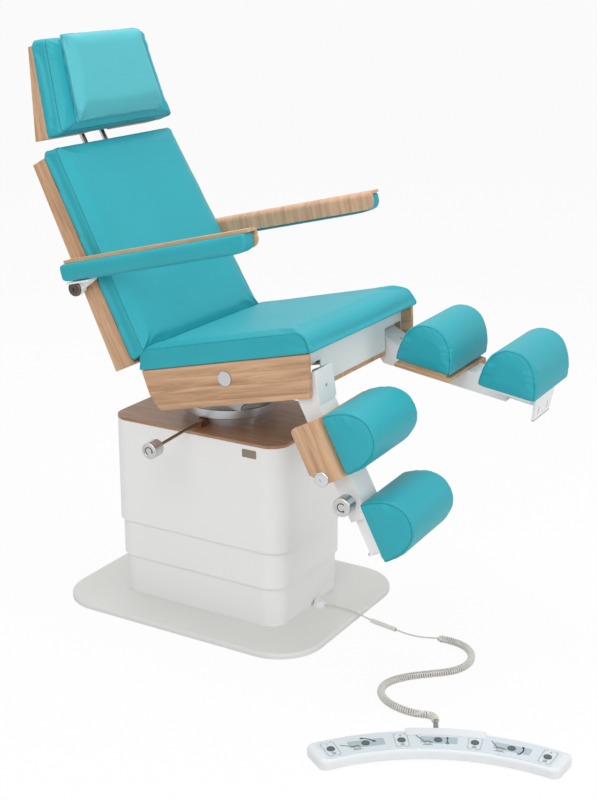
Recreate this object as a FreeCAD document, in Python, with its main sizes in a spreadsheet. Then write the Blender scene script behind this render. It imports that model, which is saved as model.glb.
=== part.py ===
import FreeCAD, Part
import Sketcher
import math
import os
import re

# Podiatry chair: electric column chair with tilting seat, reclining back, split leg rests
# and a foot control on a curly lead. Frame: floor point under the swivel axis, front +X, up +Z.

Vector = FreeCAD.Vector
Placement = FreeCAD.Placement
Rotation = FreeCAD.Rotation
os.makedirs("parts", exist_ok=True)
doc = FreeCAD.newDocument("podiatry_chair")
sheet = doc.addObject("Spreadsheet::Sheet", "Sizes")

# Driving sizes, in millimetres and degrees
SIZES = {
    # general clearances
    "fit_gap": 0.3, "run_gap": 3, "overrun": 5,
    # base plate
    "plate_length": 800, "plate_width": 622, "plate_thick": 15, "plate_round": 130,
    "plate_edge_round": 8,
    # telescopic column and its casings
    "casing_length": 545, "casing_width": 375, "casing_round": 55, "casing_wall": 2.5,
    "casing_step": 5.5, "casing_low_top": 305, "casing_mid_bottom": 128,
    "casing_mid_top": 410, "casing_top_bottom": 234, "casing_web": 20,
    "column_top": 538, "top_board_thick": 8, "head_plate_thick": 8,
    "tube_size": 180, "tube_wall": 6, "tube_step": 6.3, "tube_low_top": 300,
    "tube_mid_bottom": 96, "tube_mid_top": 404, "tube_high_bottom": 172,
    "motor_length": 150, "motor_width": 70, "motor_height": 60,
    "supply_length": 60, "supply_width": 160, "supply_height": 120,
    # swivel ring and seat support
    "flange_radius": 118, "flange_thick": 21, "swivel_gap": 0.5,
    "ring_radius": 131, "ring_thick": 27, "ring_chamfer": 2,
    "support_length": 200, "support_width": 200, "support_thick": 8,
    "cheek_thick": 8, "cheek_reach": 34, "cheek_spread": 92, "cheek_foot": 60,
    # swivel brake
    "clevis_length": 34, "clevis_width": 22, "clevis_height": 9, "brake_angle": 269,
    "brake_reach": 145, "brake_rod_radius": 4, "brake_rod_length": 172,
    "knob_radius": 22.5, "knob_length": 38, "knob_round": 3, "knob_dish": 1.5,
    "knob_neck_radius": 9, "knob_neck": 6, "brake_lean": 4,
    # seat
    "seat_tilt": 13.4, "seat_x": -85, "seat_z": 717, "seat_half_width": 285,
    "seat_board": 12, "seat_front_low": 493, "seat_front_high": 513, "seat_depth": 109,
    "seat_rear_mid": 9, "seat_rear_mid_drop": 64, "seat_rear_low": 25,
    "seat_rear_low_drop": 98, "seat_rear_foot": 36, "panel_recess": 31, "panel_thick": 3,
    "opening_height": 36, "well_front": 345, "well_rear": 70, "well_half_width": 128,
    "rail_height": 44, "rail_width": 24, "rail_spread": 132, "rail_start": 38,
    "rail_top_drop": 3, "rail_end": 452, "cross_width": 40, "axle_radius": 10,
    "axle_x": 258, "axle_drop": 40, "cap_radius": 19, "cap_thick": 5,
    "drive_radius": 32, "drive_length": 264, "drive_x": 330, "drive_drop": 42,
    "seat_soft_thick": 58, "seat_soft_crown": 7,
    # back
    "back_lean": 29.5, "back_x": -113, "back_z": 740, "back_length": 588,
    "back_margin": 5, "back_taper": 28, "back_depth_low": 62,
    "back_depth_high": 44, "back_board": 12, "back_soft_thick": 46, "back_soft_crown": 7,
    "recline_x": 4, "recline_drop": 21, "hub_radius": 13, "hub_width": 14,
    "hub_inset": 69, "back_bar": 22, "back_bar_x": 14,
    # head rest
    "head_lean": 16, "head_x": -392, "head_z": 1291, "head_length": 250,
    "head_half_low": 246, "head_half_high": 214, "head_depth_low": 46,
    "head_depth_high": 15, "head_board": 10, "head_soft_thick": 46, "head_soft_crown": 4,
    "pillow_thick": 34, "pillow_half_low": 186, "pillow_half_high": 158, "pillow_start": 30,
    "pillow_end": 254, "rod_radius": 7, "rod_spread": 44, "rod_length": 260, "rod_depth": 24,
    "rod_rise": 67.6, "yoke_room": 50,
    "hinge_radius": 8, "yoke_width": 30, "yoke_height": 26,
    # arm rests
    "arm_slope": 14, "arm_x": -262, "arm_z": 922, "arm_gap": 2, "arm_width": 56,
    "arm_rear": -20, "arm_front": 572, "arm_low": 20, "arm_top": 77, "arm_shell_thick": 8,
    "arm_shell_round": 15, "arm_shell_width": 42, "arm_nose": 14, "arm_tip_round": 12,
    "arm_pivot_radius": 9, "arm_cap_radius": 20, "arm_cap_thick": 12, "bracket_length": 62,
    "bracket_thick": 5, "bracket_low": 14,
    # leg rests
    "leg_x": 411, "leg_z": 732, "leg_inset": 62, "leg_drop_near": 63, "leg_drop_far": 8.7,
    "leg_yaw_near": 2.3, "leg_yaw_far": 1.7, "leg_half": 43, "leg_top": 8,
    "leg_height": 51, "leg_wall": 3, "leg_start": 30, "leg_end": 335, "root_back": 48,
    "root_rise": 38, "cover_half": 46, "cover_thick": 3, "knuckle_radius": 14,
    "knuckle_half": 36, "knuckle_bar": 22, "pin_radius": 6,
    "shell_start": 60, "shell_end": 216, "shell_thick": 10, "shell_inset": 2,
    "shell_outer": 96, "shell_bend": 34, "shell_drop": 84, "shell_cut": 34,
    "pad_rise": 25, "pad_start": 61, "pad_length": 151, "pad_height": 113,
    "pad_gap": 98, "pad_outer": 92, "pad_seat": 7, "pad_seat_inset": 9,
    "low_pad_start": 293, "bar_half": 33, "bar_height": 34, "bar_start": 112,
    "bar_end": 428, "glide_length": 40, "end_plate_thick": 6, "end_plate_half_high": 73,
    "end_plate_half_low": 59, "end_plate_low": 37, "slot_half": 4, "slot_height": 20,
    "slot_spread": 32, "tray_thick": 4, "pad_centre": 41, "leg_knob_s": 281,
    "leg_knob_drop": 22, "leg_knob_radius": 24, "leg_knob_neck": 26,
    "leg_knob_neck_radius": 5,
    # foot control
    "foot_inner": 521, "foot_width": 90,
    "foot_start": 86.5, "foot_end": 147, "foot_thick": 27, "foot_round": 9, "foot_sole": 3,
    "foot_first_button": 91, "foot_button_step": 8.6, "button_offset": 43,
    "button_count": 7, "sole_turn": 1,
    "button_radius": 9.5, "button_height": 8, "button_proud": 3, "button_travel": 2,
    "button_slack": 0.4, "button_floor": 1, "tab_start": 106, "tab_end": 124, "tab_reach": 4,
    "tab_rise": 2,
    # lead
    "wire_radius": 2.2, "gland_reach": 8.5, "gland_radius": 18, "gland_height": 15,
    "sleeve_radius": 6, "sleeve_gap": 1.2, "coil_radius": 8.5, "route_casing": 545,
    "relief_x": 857.6, "relief_y": -440.6, "relief_angle": 117, "relief_length": 60,
    "relief_low": 5.5, "relief_high": 8.3,
}


# Sizes that follow others
LEG_Y = "(seat_half_width - leg_inset)"
HUB_SPREAD = "(seat_half_width - hub_inset)"
PAD_INNER = f"({LEG_Y} - pad_gap / 2)"
SHELL_INNER = f"({PAD_INNER} - shell_inset)"
FOOT_OUTER = "(foot_inner + foot_width)"
ROUTE_SHIFT = "((casing_length - route_casing) / 2)"
BACK_LOW = "(seat_half_width + back_margin)"
BACK_HIGH = f"({BACK_LOW} - back_taper)"
ARM_INNER = f"({BACK_LOW} + arm_gap)"
ARM_OUTER = f"({ARM_INNER} + arm_width)"


# Sheet and expressions
def fill_sheet():
    for row, (alias, number) in enumerate(SIZES.items(), start=1):
        sheet.set(f"A{row}", alias)
        sheet.set(f"B{row}", str(number))
        sheet.setAlias(f"B{row}", alias)
    doc.recompute()


WORDS = re.compile(r"\b(" + "|".join(sorted(SIZES, key=len, reverse=True)) + r")\b")


def size(formula):
    return float(sheet.evalExpression(str(formula)))


def bind(item, path, formula):
    item.setExpression(path, WORDS.sub(r"Sizes.\1", str(formula)))


fill_sheet()

# Places of the tilted groups
PLACES = {
    "world": Placement(),
    "seat": Placement(Vector(size("seat_x"), 0, size("seat_z")), Rotation(0, -size("seat_tilt"), 0)),
    "back": Placement(Vector(size("back_x"), 0, size("back_z")), Rotation(0, -size("back_lean"), 0)),
    "head": Placement(Vector(size("head_x"), 0, size("head_z")), Rotation(0, -size("head_lean"), 0)),
    "arm": Placement(Vector(size("arm_x"), 0, size("arm_z")), Rotation(0, -size("arm_slope"), 0)),
    "leg_near": Placement(Vector(size("leg_x"), -size(LEG_Y), size("leg_z")),
                          Rotation(size("leg_yaw_near"), size("leg_drop_near"), 0)),
    "leg_far": Placement(Vector(size("leg_x"), size(LEG_Y), size("leg_z")),
                         Rotation(size("leg_yaw_far"), size("leg_drop_far"), 0)),
}
nodes = []


def settle(item, label, place="world"):
    item.Label = label
    item.Placement = PLACES[place].multiply(item.Placement)
    nodes.append(item)
    return item


# Sketched bodies
PLANE_AXES = {"XY_Plane": (0, 1), "XZ_Plane": (0, 2), "YZ_Plane": (1, 2)}


def plane_of(body, role):
    return next(item for item in body.Origin.OriginFeatures if item.Role == role)


def sketch_on(body, role, level):
    sketch = body.newObject("Sketcher::SketchObject", body.Name + "_sketch")
    sketch.AttachmentSupport = [(plane_of(body, role), "")]
    sketch.MapMode = "FlatFace"
    bind(sketch, "AttachmentOffset.Base.z", level)
    return sketch


def draw_polygon(sketch, points):
    corners = [Vector(size(across), size(up), 0) for across, up in points]
    count = len(corners)
    for index in range(count):
        sketch.addGeometry(Part.LineSegment(corners[index], corners[(index + 1) % count]))
    for index in range(count):
        sketch.addConstraint(Sketcher.Constraint("Coincident", index, 2, (index + 1) % count, 1))
    for index, (corner, formulas) in enumerate(zip(corners, points)):
        across, up = formulas
        for kind, value, formula in (("DistanceX", corner.x, across), ("DistanceY", corner.y, up)):
            number = sketch.addConstraint(Sketcher.Constraint(kind, -1, 1, index, 1, value))
            bind(sketch, f"Constraints[{number}]", formula)


def edges_at(shape, role, corner):
    first, second = PLANE_AXES[role]
    target = (size(corner[0]), size(corner[1]))
    found = []
    for number, edge in enumerate(shape.Edges, start=1):
        ends = [vertex.Point for vertex in edge.Vertexes]
        near = [math.hypot(end[first] - target[0], end[second] - target[1]) < 1e-4 for end in ends]
        if len(ends) == 2 and all(near):
            found.append(f"Edge{number}")
    return found


def round_corners(body, base, role, corners, radius):
    doc.recompute()
    names = [name for corner in corners for name in edges_at(base.Shape, role, corner)]
    fillet = body.newObject("PartDesign::Fillet", body.Name + "_round")
    fillet.Base = (base, names)
    bind(fillet, "Radius", radius)
    return fillet


def pad_body(name, role, points, depth, level="0"):
    body = doc.addObject("PartDesign::Body", name)
    sketch = sketch_on(body, role, level)
    draw_polygon(sketch, points)
    pad = body.newObject("PartDesign::Pad", name + "_pad")
    pad.Profile = sketch
    bind(pad, "Length", depth)
    doc.recompute()
    return body, pad


def pocket(body, role, points, depth, level="0", away=False):
    before = body.Shape.Volume
    sketch = sketch_on(body, role, level)
    draw_polygon(sketch, points)
    cut = body.newObject("PartDesign::Pocket", body.Name + "_pocket")
    cut.Profile = sketch
    cut.Reversed = away
    bind(cut, "Length", depth)
    doc.recompute()
    if body.Shape.Volume >= before:
        raise ValueError(f"pocket in {body.Name} cuts nothing")
    return cut


def rectangle(half_x, half_y):
    return [(f"-({half_x})", f"-({half_y})"), (half_x, f"-({half_y})"),
            (half_x, half_y), (f"-({half_x})", half_y)]


def span(low_x, high_x, low_y, high_y):
    return [(low_x, low_y), (high_x, low_y), (high_x, high_y), (low_x, high_y)]


# Primitives and booleans
def cylinder(name, radius, height, at, axis="z"):
    item = doc.addObject("Part::Cylinder", name)
    bind(item, "Radius", radius)
    bind(item, "Height", height)
    turns = {"z": Rotation(), "y": Rotation(Vector(1, 0, 0), -90), "x": Rotation(Vector(0, 1, 0), 90)}
    item.Placement = Placement(Vector(*[size(part) for part in at]), turns[axis])
    return item


def box(name, length, width, height, at):
    item = doc.addObject("Part::Box", name)
    bind(item, "Length", length)
    bind(item, "Width", width)
    bind(item, "Height", height)
    item.Placement = Placement(Vector(*[size(part) for part in at]), Rotation())
    return item


def fuse(name, items):
    item = doc.addObject("Part::MultiFuse", name)
    item.Shapes = items
    item.Refine = True
    return item


def cut(name, base, tool):
    item = doc.addObject("Part::Cut", name)
    item.Base = base
    item.Tool = tool
    return item


def group(name, items):
    item = doc.addObject("Part::Compound", name)
    item.Links = items
    return item


def shaped(name, shape):
    item = doc.addObject("Part::Feature", name)
    item.Shape = shape
    return item


# Base plate and column
def make_base_plate():
    half = rectangle("plate_length / 2", "plate_width / 2")
    body, pad = pad_body("base_plate", "XY_Plane", half, "plate_thick")
    rounded = round_corners(body, pad, "XY_Plane", half, "plate_round")
    doc.recompute()
    top = [f"Edge{number}" for number, edge in enumerate(rounded.Shape.Edges, start=1)
           if all(abs(vertex.Z - size("plate_thick")) < 1e-4 for vertex in edge.Vertexes)]
    rim = body.newObject("PartDesign::Fillet", "base_plate_rim")
    rim.Base = (rounded, top)
    bind(rim, "Radius", "plate_edge_round")
    settle(body, "base_plate")


def rounded_tube(name, half_x, half_y, wall, corner, low, high):
    outer = rectangle(half_x, half_y)
    inner = rectangle(f"{half_x} - {wall}", f"{half_y} - {wall}")
    body, pad = pad_body(name, "XY_Plane", outer, f"{high} - ({low})", low)
    cut_through = pocket(body, "XY_Plane", inner, f"{high} - ({low}) + overrun", low, away=True)
    inside = round_corners(body, cut_through, "XY_Plane", inner, f"{corner} - {wall}")
    round_corners(body, inside, "XY_Plane", outer, corner)
    return body


def make_casing(label, step, low, high):
    half_x = f"casing_length / 2 - {step} * casing_step"
    half_y = f"casing_width / 2 - {step} * casing_step"
    return settle(rounded_tube(label, half_x, half_y, "casing_wall", "casing_round", low, high), label)


def lift_tube(label, step, low, high):
    half = f"tube_size / 2 - {step} * tube_step"
    return rounded_tube(label, half, half, "tube_wall", "tube_wall * 2", low, high)


def make_middle_casing():
    half_x = "casing_length / 2 - casing_step"
    half_y = "casing_width / 2 - casing_step"
    shell = rounded_tube("casing_middle_shell", half_x, half_y, "casing_wall", "casing_round",
                         "casing_mid_bottom", "casing_mid_top")
    web_half = "casing_width / 2 - casing_step - casing_wall / 2"
    web = box("casing_middle_web", "casing_web", f"2 * ({web_half})", "casing_wall * 2",
              ("0 - casing_web / 2", f"0 - ({web_half})", "tube_mid_top"))
    hole_half = "(tube_size / 2 - 2 * tube_step + fit_gap)"
    hole = box("casing_middle_hole", "casing_web + 2 * overrun", f"2 * {hole_half}", "casing_wall * 4",
               ("0 - casing_web / 2 - overrun", f"0 - {hole_half}", "tube_mid_top - casing_wall"))
    arms = cut("casing_middle_arms", web, hole)
    settle(fuse("casing_middle", [shell, arms]), "column_casing_middle")


def make_column():
    make_casing("column_casing_lower", "2", "plate_thick", "casing_low_top")
    make_middle_casing()
    make_casing("column_casing_top", "0", "casing_top_bottom", "column_top - top_board_thick")
    settle(lift_tube("tube_outer", "0", "plate_thick", "tube_low_top"), "lift_tube_outer")
    settle(lift_tube("tube_middle", "1", "tube_mid_bottom", "tube_mid_top"), "lift_tube_middle")
    half = rectangle("casing_length / 2", "casing_width / 2")
    body, pad = pad_body("top_board", "XY_Plane", half, "top_board_thick", "column_top - top_board_thick")
    round_corners(body, pad, "XY_Plane", half, "casing_round")
    settle(body, "column_top_board")
    wall = "(casing_wall + fit_gap)"
    half = rectangle(f"casing_length / 2 - {wall}", f"casing_width / 2 - {wall}")
    body, pad = pad_body("head_plate", "XY_Plane", half, "head_plate_thick",
                         "column_top - top_board_thick - head_plate_thick")
    round_corners(body, pad, "XY_Plane", half, f"casing_round - {wall}")
    tube = lift_tube("tube_inner", "2", "tube_high_bottom", "column_top - top_board_thick - head_plate_thick")
    settle(fuse("inner_tube_with_plate", [tube, body]), "lift_tube_inner")


def make_lift_drive():
    side = "tube_size / 2 + fit_gap"
    motor = box("motor", "motor_length", "motor_width", "motor_height",
                (side, "0 - motor_width / 2", "plate_thick"))
    supply = box("supply", "supply_length", "supply_width", "supply_height",
                 (f"0 - ({side}) - supply_length", "0 - supply_width / 2", "plate_thick"))
    settle(group("lift_drive", [motor, supply]), "lift_drive")


# Swivel, seat support and brake
def make_swivel():
    flange = cylinder("flange", "flange_radius", "flange_thick", ("0", "0", "column_top"))
    settle(flange, "swivel_flange")
    disc = cylinder("ring_disc", "ring_radius", "ring_thick",
                    ("0", "0", "column_top + flange_thick + swivel_gap"))
    ring = doc.addObject("Part::Chamfer", "swivel_ring")
    ring.Base = disc
    doc.recompute()
    rims = [number for number, edge in enumerate(disc.Shape.Edges, start=1) if edge.Closed]
    ring.Edges = [(number, size("ring_chamfer"), size("ring_chamfer")) for number in rims]
    settle(ring, "swivel_ring")


def axle_world():
    return PLACES["seat"].multVec(Vector(size("axle_x"), 0, -size("axle_drop")))


def support_cheek(side, foot):
    axle = axle_world()
    reach = size("cheek_reach")
    start = size("support_length") / 2 - size("cheek_foot")
    outline = Part.makePolygon([
        Vector(start - size("cheek_foot"), 0, foot), Vector(size("support_length") / 2, 0, foot),
        Vector(axle.x + reach / 2, 0, axle.z - reach / 2), Vector(axle.x, 0, axle.z),
        Vector(axle.x - reach, 0, axle.z - reach / 2), Vector(start - size("cheek_foot"), 0, foot)])
    hub = Part.makeCylinder(reach / 2, size("cheek_thick"), Vector(axle.x, 0, axle.z), Vector(0, 1, 0))
    cheek = Part.Face(outline).extrude(Vector(0, size("cheek_thick"), 0)).fuse(hub)
    bore = Part.makeCylinder(size("axle_radius") + size("fit_gap"), size("cheek_thick"),
                             Vector(axle.x, 0, axle.z), Vector(0, 1, 0))
    cheek = cheek.cut(bore)
    offset = size("cheek_spread") if side > 0 else -size("cheek_spread") - size("cheek_thick")
    return cheek.translated(Vector(0, offset, 0))


def make_support():
    low = size("column_top + flange_thick + swivel_gap + ring_thick")
    length = size("support_length")
    width = size("support_width")
    thick = size("support_thick")
    slab = Part.makeBox(length, width, thick, Vector(-length / 2, -width / 2, low))
    shape = slab
    for side in (-1, 1):
        shape = shape.fuse(support_cheek(side, low + thick))
    settle(shaped("seat_support", shape.removeSplitter()), "seat_support")


def knob_shape(radius, length, neck_radius, neck):
    body = Part.makeCylinder(radius, length, Vector(0, 0, neck))
    rims = [edge for edge in body.Edges if edge.Closed]
    body = body.makeFillet(size("knob_round"), rims)
    deep = size("knob_dish")
    dish = Part.makeCylinder(radius * 2 / 3, deep, Vector(0, 0, neck + length - deep))
    return body.cut(dish).fuse(Part.makeCylinder(neck_radius, neck + size("knob_round")))


def brake_place():
    angle = math.radians(size("brake_angle"))
    reach = size("brake_reach")
    height = size("column_top + clevis_height + brake_rod_radius + run_gap / 3")
    start = Vector(reach * math.cos(angle), reach * math.sin(angle), height)
    away = Rotation(size("brake_angle"), 0, 0).multiply(Rotation(Vector(0, 1, 0), 90 + size("brake_lean")))
    return Placement(start, away)


# Seat
def seat_side_outline():
    return [("0", "0"), ("seat_rear_mid", "0 - seat_rear_mid_drop"),
            ("seat_rear_low", "0 - seat_rear_low_drop"), ("seat_rear_foot", "0 - seat_depth"),
            ("seat_front_low", "0 - seat_depth"), ("seat_front_high", "0")]


def make_seat_shell():
    sides = []
    for name, face in (("near", "0 - seat_half_width + seat_board"), ("far", "seat_half_width")):
        body, pad = pad_body(f"seat_side_{name}", "XZ_Plane", seat_side_outline(), "seat_board",
                             f"0 - ({face})")
        sides.append(body)
    front = "seat_front_low - panel_recess"
    inner = "seat_half_width - seat_board / 2"
    floor_span = span("seat_rear_foot", front, f"0 - ({inner})", inner)
    body, pad = pad_body("seat_floor", "XY_Plane", floor_span, "seat_board", "0 - seat_depth")
    well = span("well_rear", "well_front", "0 - well_half_width", "well_half_width")
    pocket(body, "XY_Plane", well, "seat_board * 2", "0 - seat_depth - seat_board / 2", away=True)
    for sign in ("-1", "1"):
        edges = (f"{sign} * {LEG_Y} - cover_half - run_gap", f"{sign} * {LEG_Y} + cover_half + run_gap")
        rear = f"{front} - root_back - 2 * knuckle_radius"
        notch = span(rear, f"{front} + overrun", edges[0], edges[1])
        pocket(body, "XY_Plane", notch, "seat_board * 2", "0 - seat_depth - seat_board / 2", away=True)
    bore = cylinder("seat_shell_bore", "axle_radius + fit_gap", "3 * seat_half_width",
                    ("axle_x", "0 - 3 / 2 * seat_half_width", "0 - axle_drop"), "y")
    settle(cut("seat_shell_bored", fuse("seat_shell_boards", sides + [body]), bore), "seat_shell", "seat")


def make_front_panel():
    slant = "(seat_front_high - seat_front_low) / seat_depth"
    low = "0 - seat_depth + seat_board"
    high = "0 - run_gap"
    rear = "seat_front_low - panel_recess - panel_thick"
    points = [(f"{rear} + seat_board * {slant}", low),
              (f"{rear} + panel_thick + seat_board * {slant}", low),
              (f"{rear} + panel_thick + (seat_depth - run_gap) * {slant}", high),
              (f"{rear} + (seat_depth - run_gap) * {slant}", high)]
    inner = "seat_half_width - seat_board - fit_gap"
    body, pad = pad_body("front_panel", "XZ_Plane", points, f"2 * ({inner})", f"0 - ({inner})")
    for sign in ("-1", "1"):
        edges = (f"{sign} * {LEG_Y} - cover_half - run_gap", f"{sign} * {LEG_Y} + cover_half + run_gap")
        window = span(edges[0], edges[1], "0 - seat_depth - overrun", "0 - opening_height")
        pocket(body, "YZ_Plane", window, "seat_front_high", "0", away=True)
    settle(body, "seat_front_panel", "seat")


def make_seat_frame():
    rails = []
    rail_low = "0 - rail_top_drop - rail_height"
    for sign in (-1, 1):
        offset = "rail_spread" if sign > 0 else "0 - rail_spread - rail_width"
        rails.append(box("seat_rail", "rail_end - rail_start", "rail_width", "rail_height",
                         ("rail_start", offset, rail_low)))
    reach = "seat_half_width - seat_board - fit_gap"
    for start in ("rail_start", "rail_end - cross_width"):
        rails.append(box("seat_cross", "cross_width", f"2 * ({reach})", "rail_height / 2",
                         (start, f"0 - ({reach})", "0 - rail_top_drop - rail_height / 2")))
    frame = fuse("seat_frame_body", rails)
    bore = cylinder("seat_bore", "axle_radius", "4 * rail_spread",
                    ("axle_x", "0 - 2 * rail_spread", "0 - axle_drop"), "y")
    bored = cut("seat_frame_bored", frame, bore)
    settle(fuse("seat_frame", [bored] + leg_knuckles() + back_lugs()), "seat_frame", "seat")


# Knuckle arms that reach forward through the front openings to the leg pins
def leg_knuckles():
    pin = PLACES["seat"].inverse().multVec(Vector(size("leg_x"), 0, size("leg_z")))
    radius = size("knuckle_radius")
    half = size("knuckle_half")
    bar = size("knuckle_bar")
    cross = size("rail_end - cross_width")
    top = -size("rail_top_drop") - size("rail_height") / 4
    items = []
    for name, sign in (("leg_near", -1), ("leg_far", 1)):
        middle = sign * size(LEG_Y)
        axis = PLACES["seat"].Rotation.inverted().multVec(PLACES[name].Rotation.multVec(Vector(0, 1, 0)))
        centre = Vector(pin.x, middle, pin.z)
        barrel = Part.makeCylinder(radius, 2 * half, centre - axis * half, axis)
        arm = Part.makePolygon([
            Vector(cross, 0, top), Vector(cross, 0, pin.z - bar / 3), Vector(pin.x, 0, pin.z - bar / 2),
            Vector(pin.x, 0, pin.z + bar / 2), Vector(cross + bar, 0, pin.z + bar),
            Vector(cross + bar, 0, top), Vector(cross, 0, top)])
        arm = Part.Face(arm).extrude(Vector(0, 2 * half, 0)).translated(Vector(0, middle - half, 0))
        bore = Part.makeCylinder(size("pin_radius + fit_gap"), 4 * half, centre - axis * 2 * half, axis)
        items.append(shaped("leg_knuckle", arm.fuse(barrel).cut(bore)))
    return items


def hinge_in(place):
    world = PLACES["back"].multVec(Vector(size("recline_x"), 0, -size("recline_drop")))
    return PLACES[place].inverse().multVec(world)


# Lugs at the rear of the seat frame that carry the recline pins
def back_lugs():
    hinge = hinge_in("seat")
    radius = size("hub_radius")
    start = size("rail_start")
    width = size("hub_width")
    items = []
    for sign in (-1, 1):
        middle = sign * (size(HUB_SPREAD) + width + size("fit_gap"))
        hub = Part.makeCylinder(radius, width, Vector(hinge.x, middle - width / 2, hinge.z), Vector(0, 1, 0))
        top = -size("rail_top_drop")
        arm = Part.makePolygon([
            Vector(start + radius, 0, top), Vector(start + radius, 0, top - 2 * radius),
            Vector(hinge.x, 0, hinge.z - radius), Vector(hinge.x, 0, hinge.z + radius / 2),
            Vector(hinge.x + radius, 0, top), Vector(start + radius, 0, top)])
        arm = Part.Face(arm).extrude(Vector(0, width, 0)).translated(Vector(0, middle - width / 2, 0))
        items.append(shaped("recline_lug", arm.fuse(hub)))
    return items


# Soft pads: lofts through crowned sections whose sides draw in
def crowned_section(half, thick, crown, spot):
    bulge = thick / 12
    corners = [spot(-half, 0), spot(half, 0), spot(half - bulge, thick), spot(bulge - half, thick)]
    edges = [Part.LineSegment(corners[0], corners[1]).toShape(),
             Part.Arc(corners[1], spot(half - bulge / 4, thick / 2), corners[2]).toShape(),
             Part.Arc(corners[2], spot(0, thick + crown), corners[3]).toShape(),
             Part.Arc(corners[3], spot(bulge / 4 - half, thick / 2), corners[0]).toShape()]
    return Part.Wire(edges)


def soft_loft(label, place, wires):
    settle(shaped(label, Part.makeLoft(wires, True, True)), label, place)


def station_values(stations, length):
    return [(share * length, wide, thick) for share, wide, thick in stations]


SEAT_STATION_SHARES = ((0.012, 0.97, 0.35), (0.028, 0.985, 0.6), (0.05, 0.995, 0.84), (0.075, 1, 0.96),
                       (0.49, 1, 1), (0.895, 0.995, 0.98), (0.962, 0.985, 0.78), (0.995, 0.97, 0.3))
BACK_STATION_SHARES = ((0.004, 0.975, 0.5), (0.016, 0.99, 0.82), (0.045, 1, 0.97),
                       (0.5, 1, 1.03), (0.955, 1, 1.05), (0.99, 0.99, 0.9), (1.003, 0.975, 0.6))


def make_seat_cushion():
    length = size("seat_front_high")
    lift = size("fit_gap")
    wires = []
    for x, wide, thick in station_values(SEAT_STATION_SHARES, length):
        half = size("seat_half_width") * wide
        crown = size("seat_soft_crown") * thick
        wires.append(crowned_section(half, size("seat_soft_thick") * thick, crown,
                                     lambda y, z, x=x: Vector(x, y, z + lift)))
    soft_loft("seat_cushion", "seat", wires)


def upright_cushion(label, place, length, low, high, thickness, crown_name, lift, first=0):
    wires = []
    for z, wide, thick in station_values(BACK_STATION_SHARES, length):
        half = (low + (high - low) * z / length) * wide
        crown = size(crown_name) * thick
        wires.append(crowned_section(half, thickness * thick, crown,
                                     lambda y, x, z=z: Vector(x + lift, y, z + first)))
    soft_loft(label, place, wires)


# Tapered timber shells of back and head rest
def tapered_shell(length, depth_low, depth_high, half_low, half_high, board, foot):
    def outline(inset):
        return Part.makePolygon([
            Vector(0, inset - half_low, foot), Vector(0, half_low - inset, foot),
            Vector(0, half_high - inset, length), Vector(0, inset - half_high, length),
            Vector(0, inset - half_low, foot)])
    deepest = depth_low + board
    block = Part.Face(outline(0)).extrude(Vector(-deepest, 0, 0))
    side = Part.makePolygon([
        Vector(0, 0, foot - board), Vector(-depth_low, 0, foot - board), Vector(-depth_low, 0, foot),
        Vector(-depth_high, 0, length), Vector(0, 0, length), Vector(0, 0, foot - board)])
    profile = Part.Face(side).extrude(Vector(0, 4 * half_low, 0)).translated(Vector(0, -2 * half_low, 0))
    outer = block.common(profile)
    inner_side = Part.makePolygon([
        Vector(board, 0, foot + board), Vector(board - depth_low, 0, foot + board),
        Vector(board - depth_high, 0, length - board), Vector(board, 0, length - board),
        Vector(board, 0, foot + board)])
    hollow = Part.Face(inner_side).extrude(Vector(0, 4 * half_low, 0)).translated(Vector(0, -2 * half_low, 0))
    room = Part.Face(outline(board)).extrude(Vector(-deepest, 0, 0)).translated(Vector(board, 0, 0))
    return outer.cut(hollow.common(room))


def make_back():
    values = [size(name) for name in ("back_length", "back_depth_low", "back_depth_high",
                                      BACK_LOW, BACK_HIGH, "back_board")]
    length, low, high, half_low, half_high, board = values
    shell = tapered_shell(length - board, low, high, half_low, half_high, board, -board / 2)
    for sign in (-1, 1):
        rod = Part.makeCylinder(size("rod_radius") + size("fit_gap"), 4 * board,
                                Vector(-size("rod_depth"), sign * size("rod_spread"), length - 3 * board))
        shell = shell.cut(rod)
        lug = Part.makeBox(low, size("hub_width") + 2 * size("fit_gap"), 3 * board,
                           Vector(-low / 2, sign * size(HUB_SPREAD) - size("hub_width") / 2
                                  - size("fit_gap"), -2 * board))
        shell = shell.cut(lug)
    frame = back_frame_shape()
    settle(shaped("back_shell", shell.cut(frame)), "back_shell", "back")
    settle(shaped("back_frame", frame), "back_frame", "back")
    upright_cushion("back_cushion", "back", length, half_low, half_high, size("back_soft_thick"),
                    "back_soft_crown", size("fit_gap"))


# Steel frame inside the back: side bars, cross bars, recline arms and rod sleeves
SIDE_BAR_SHARE = 0.8
SLEEVE_SHARE = 0.4
BEAM_SHARES = (0.42, 0.76)


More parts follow.
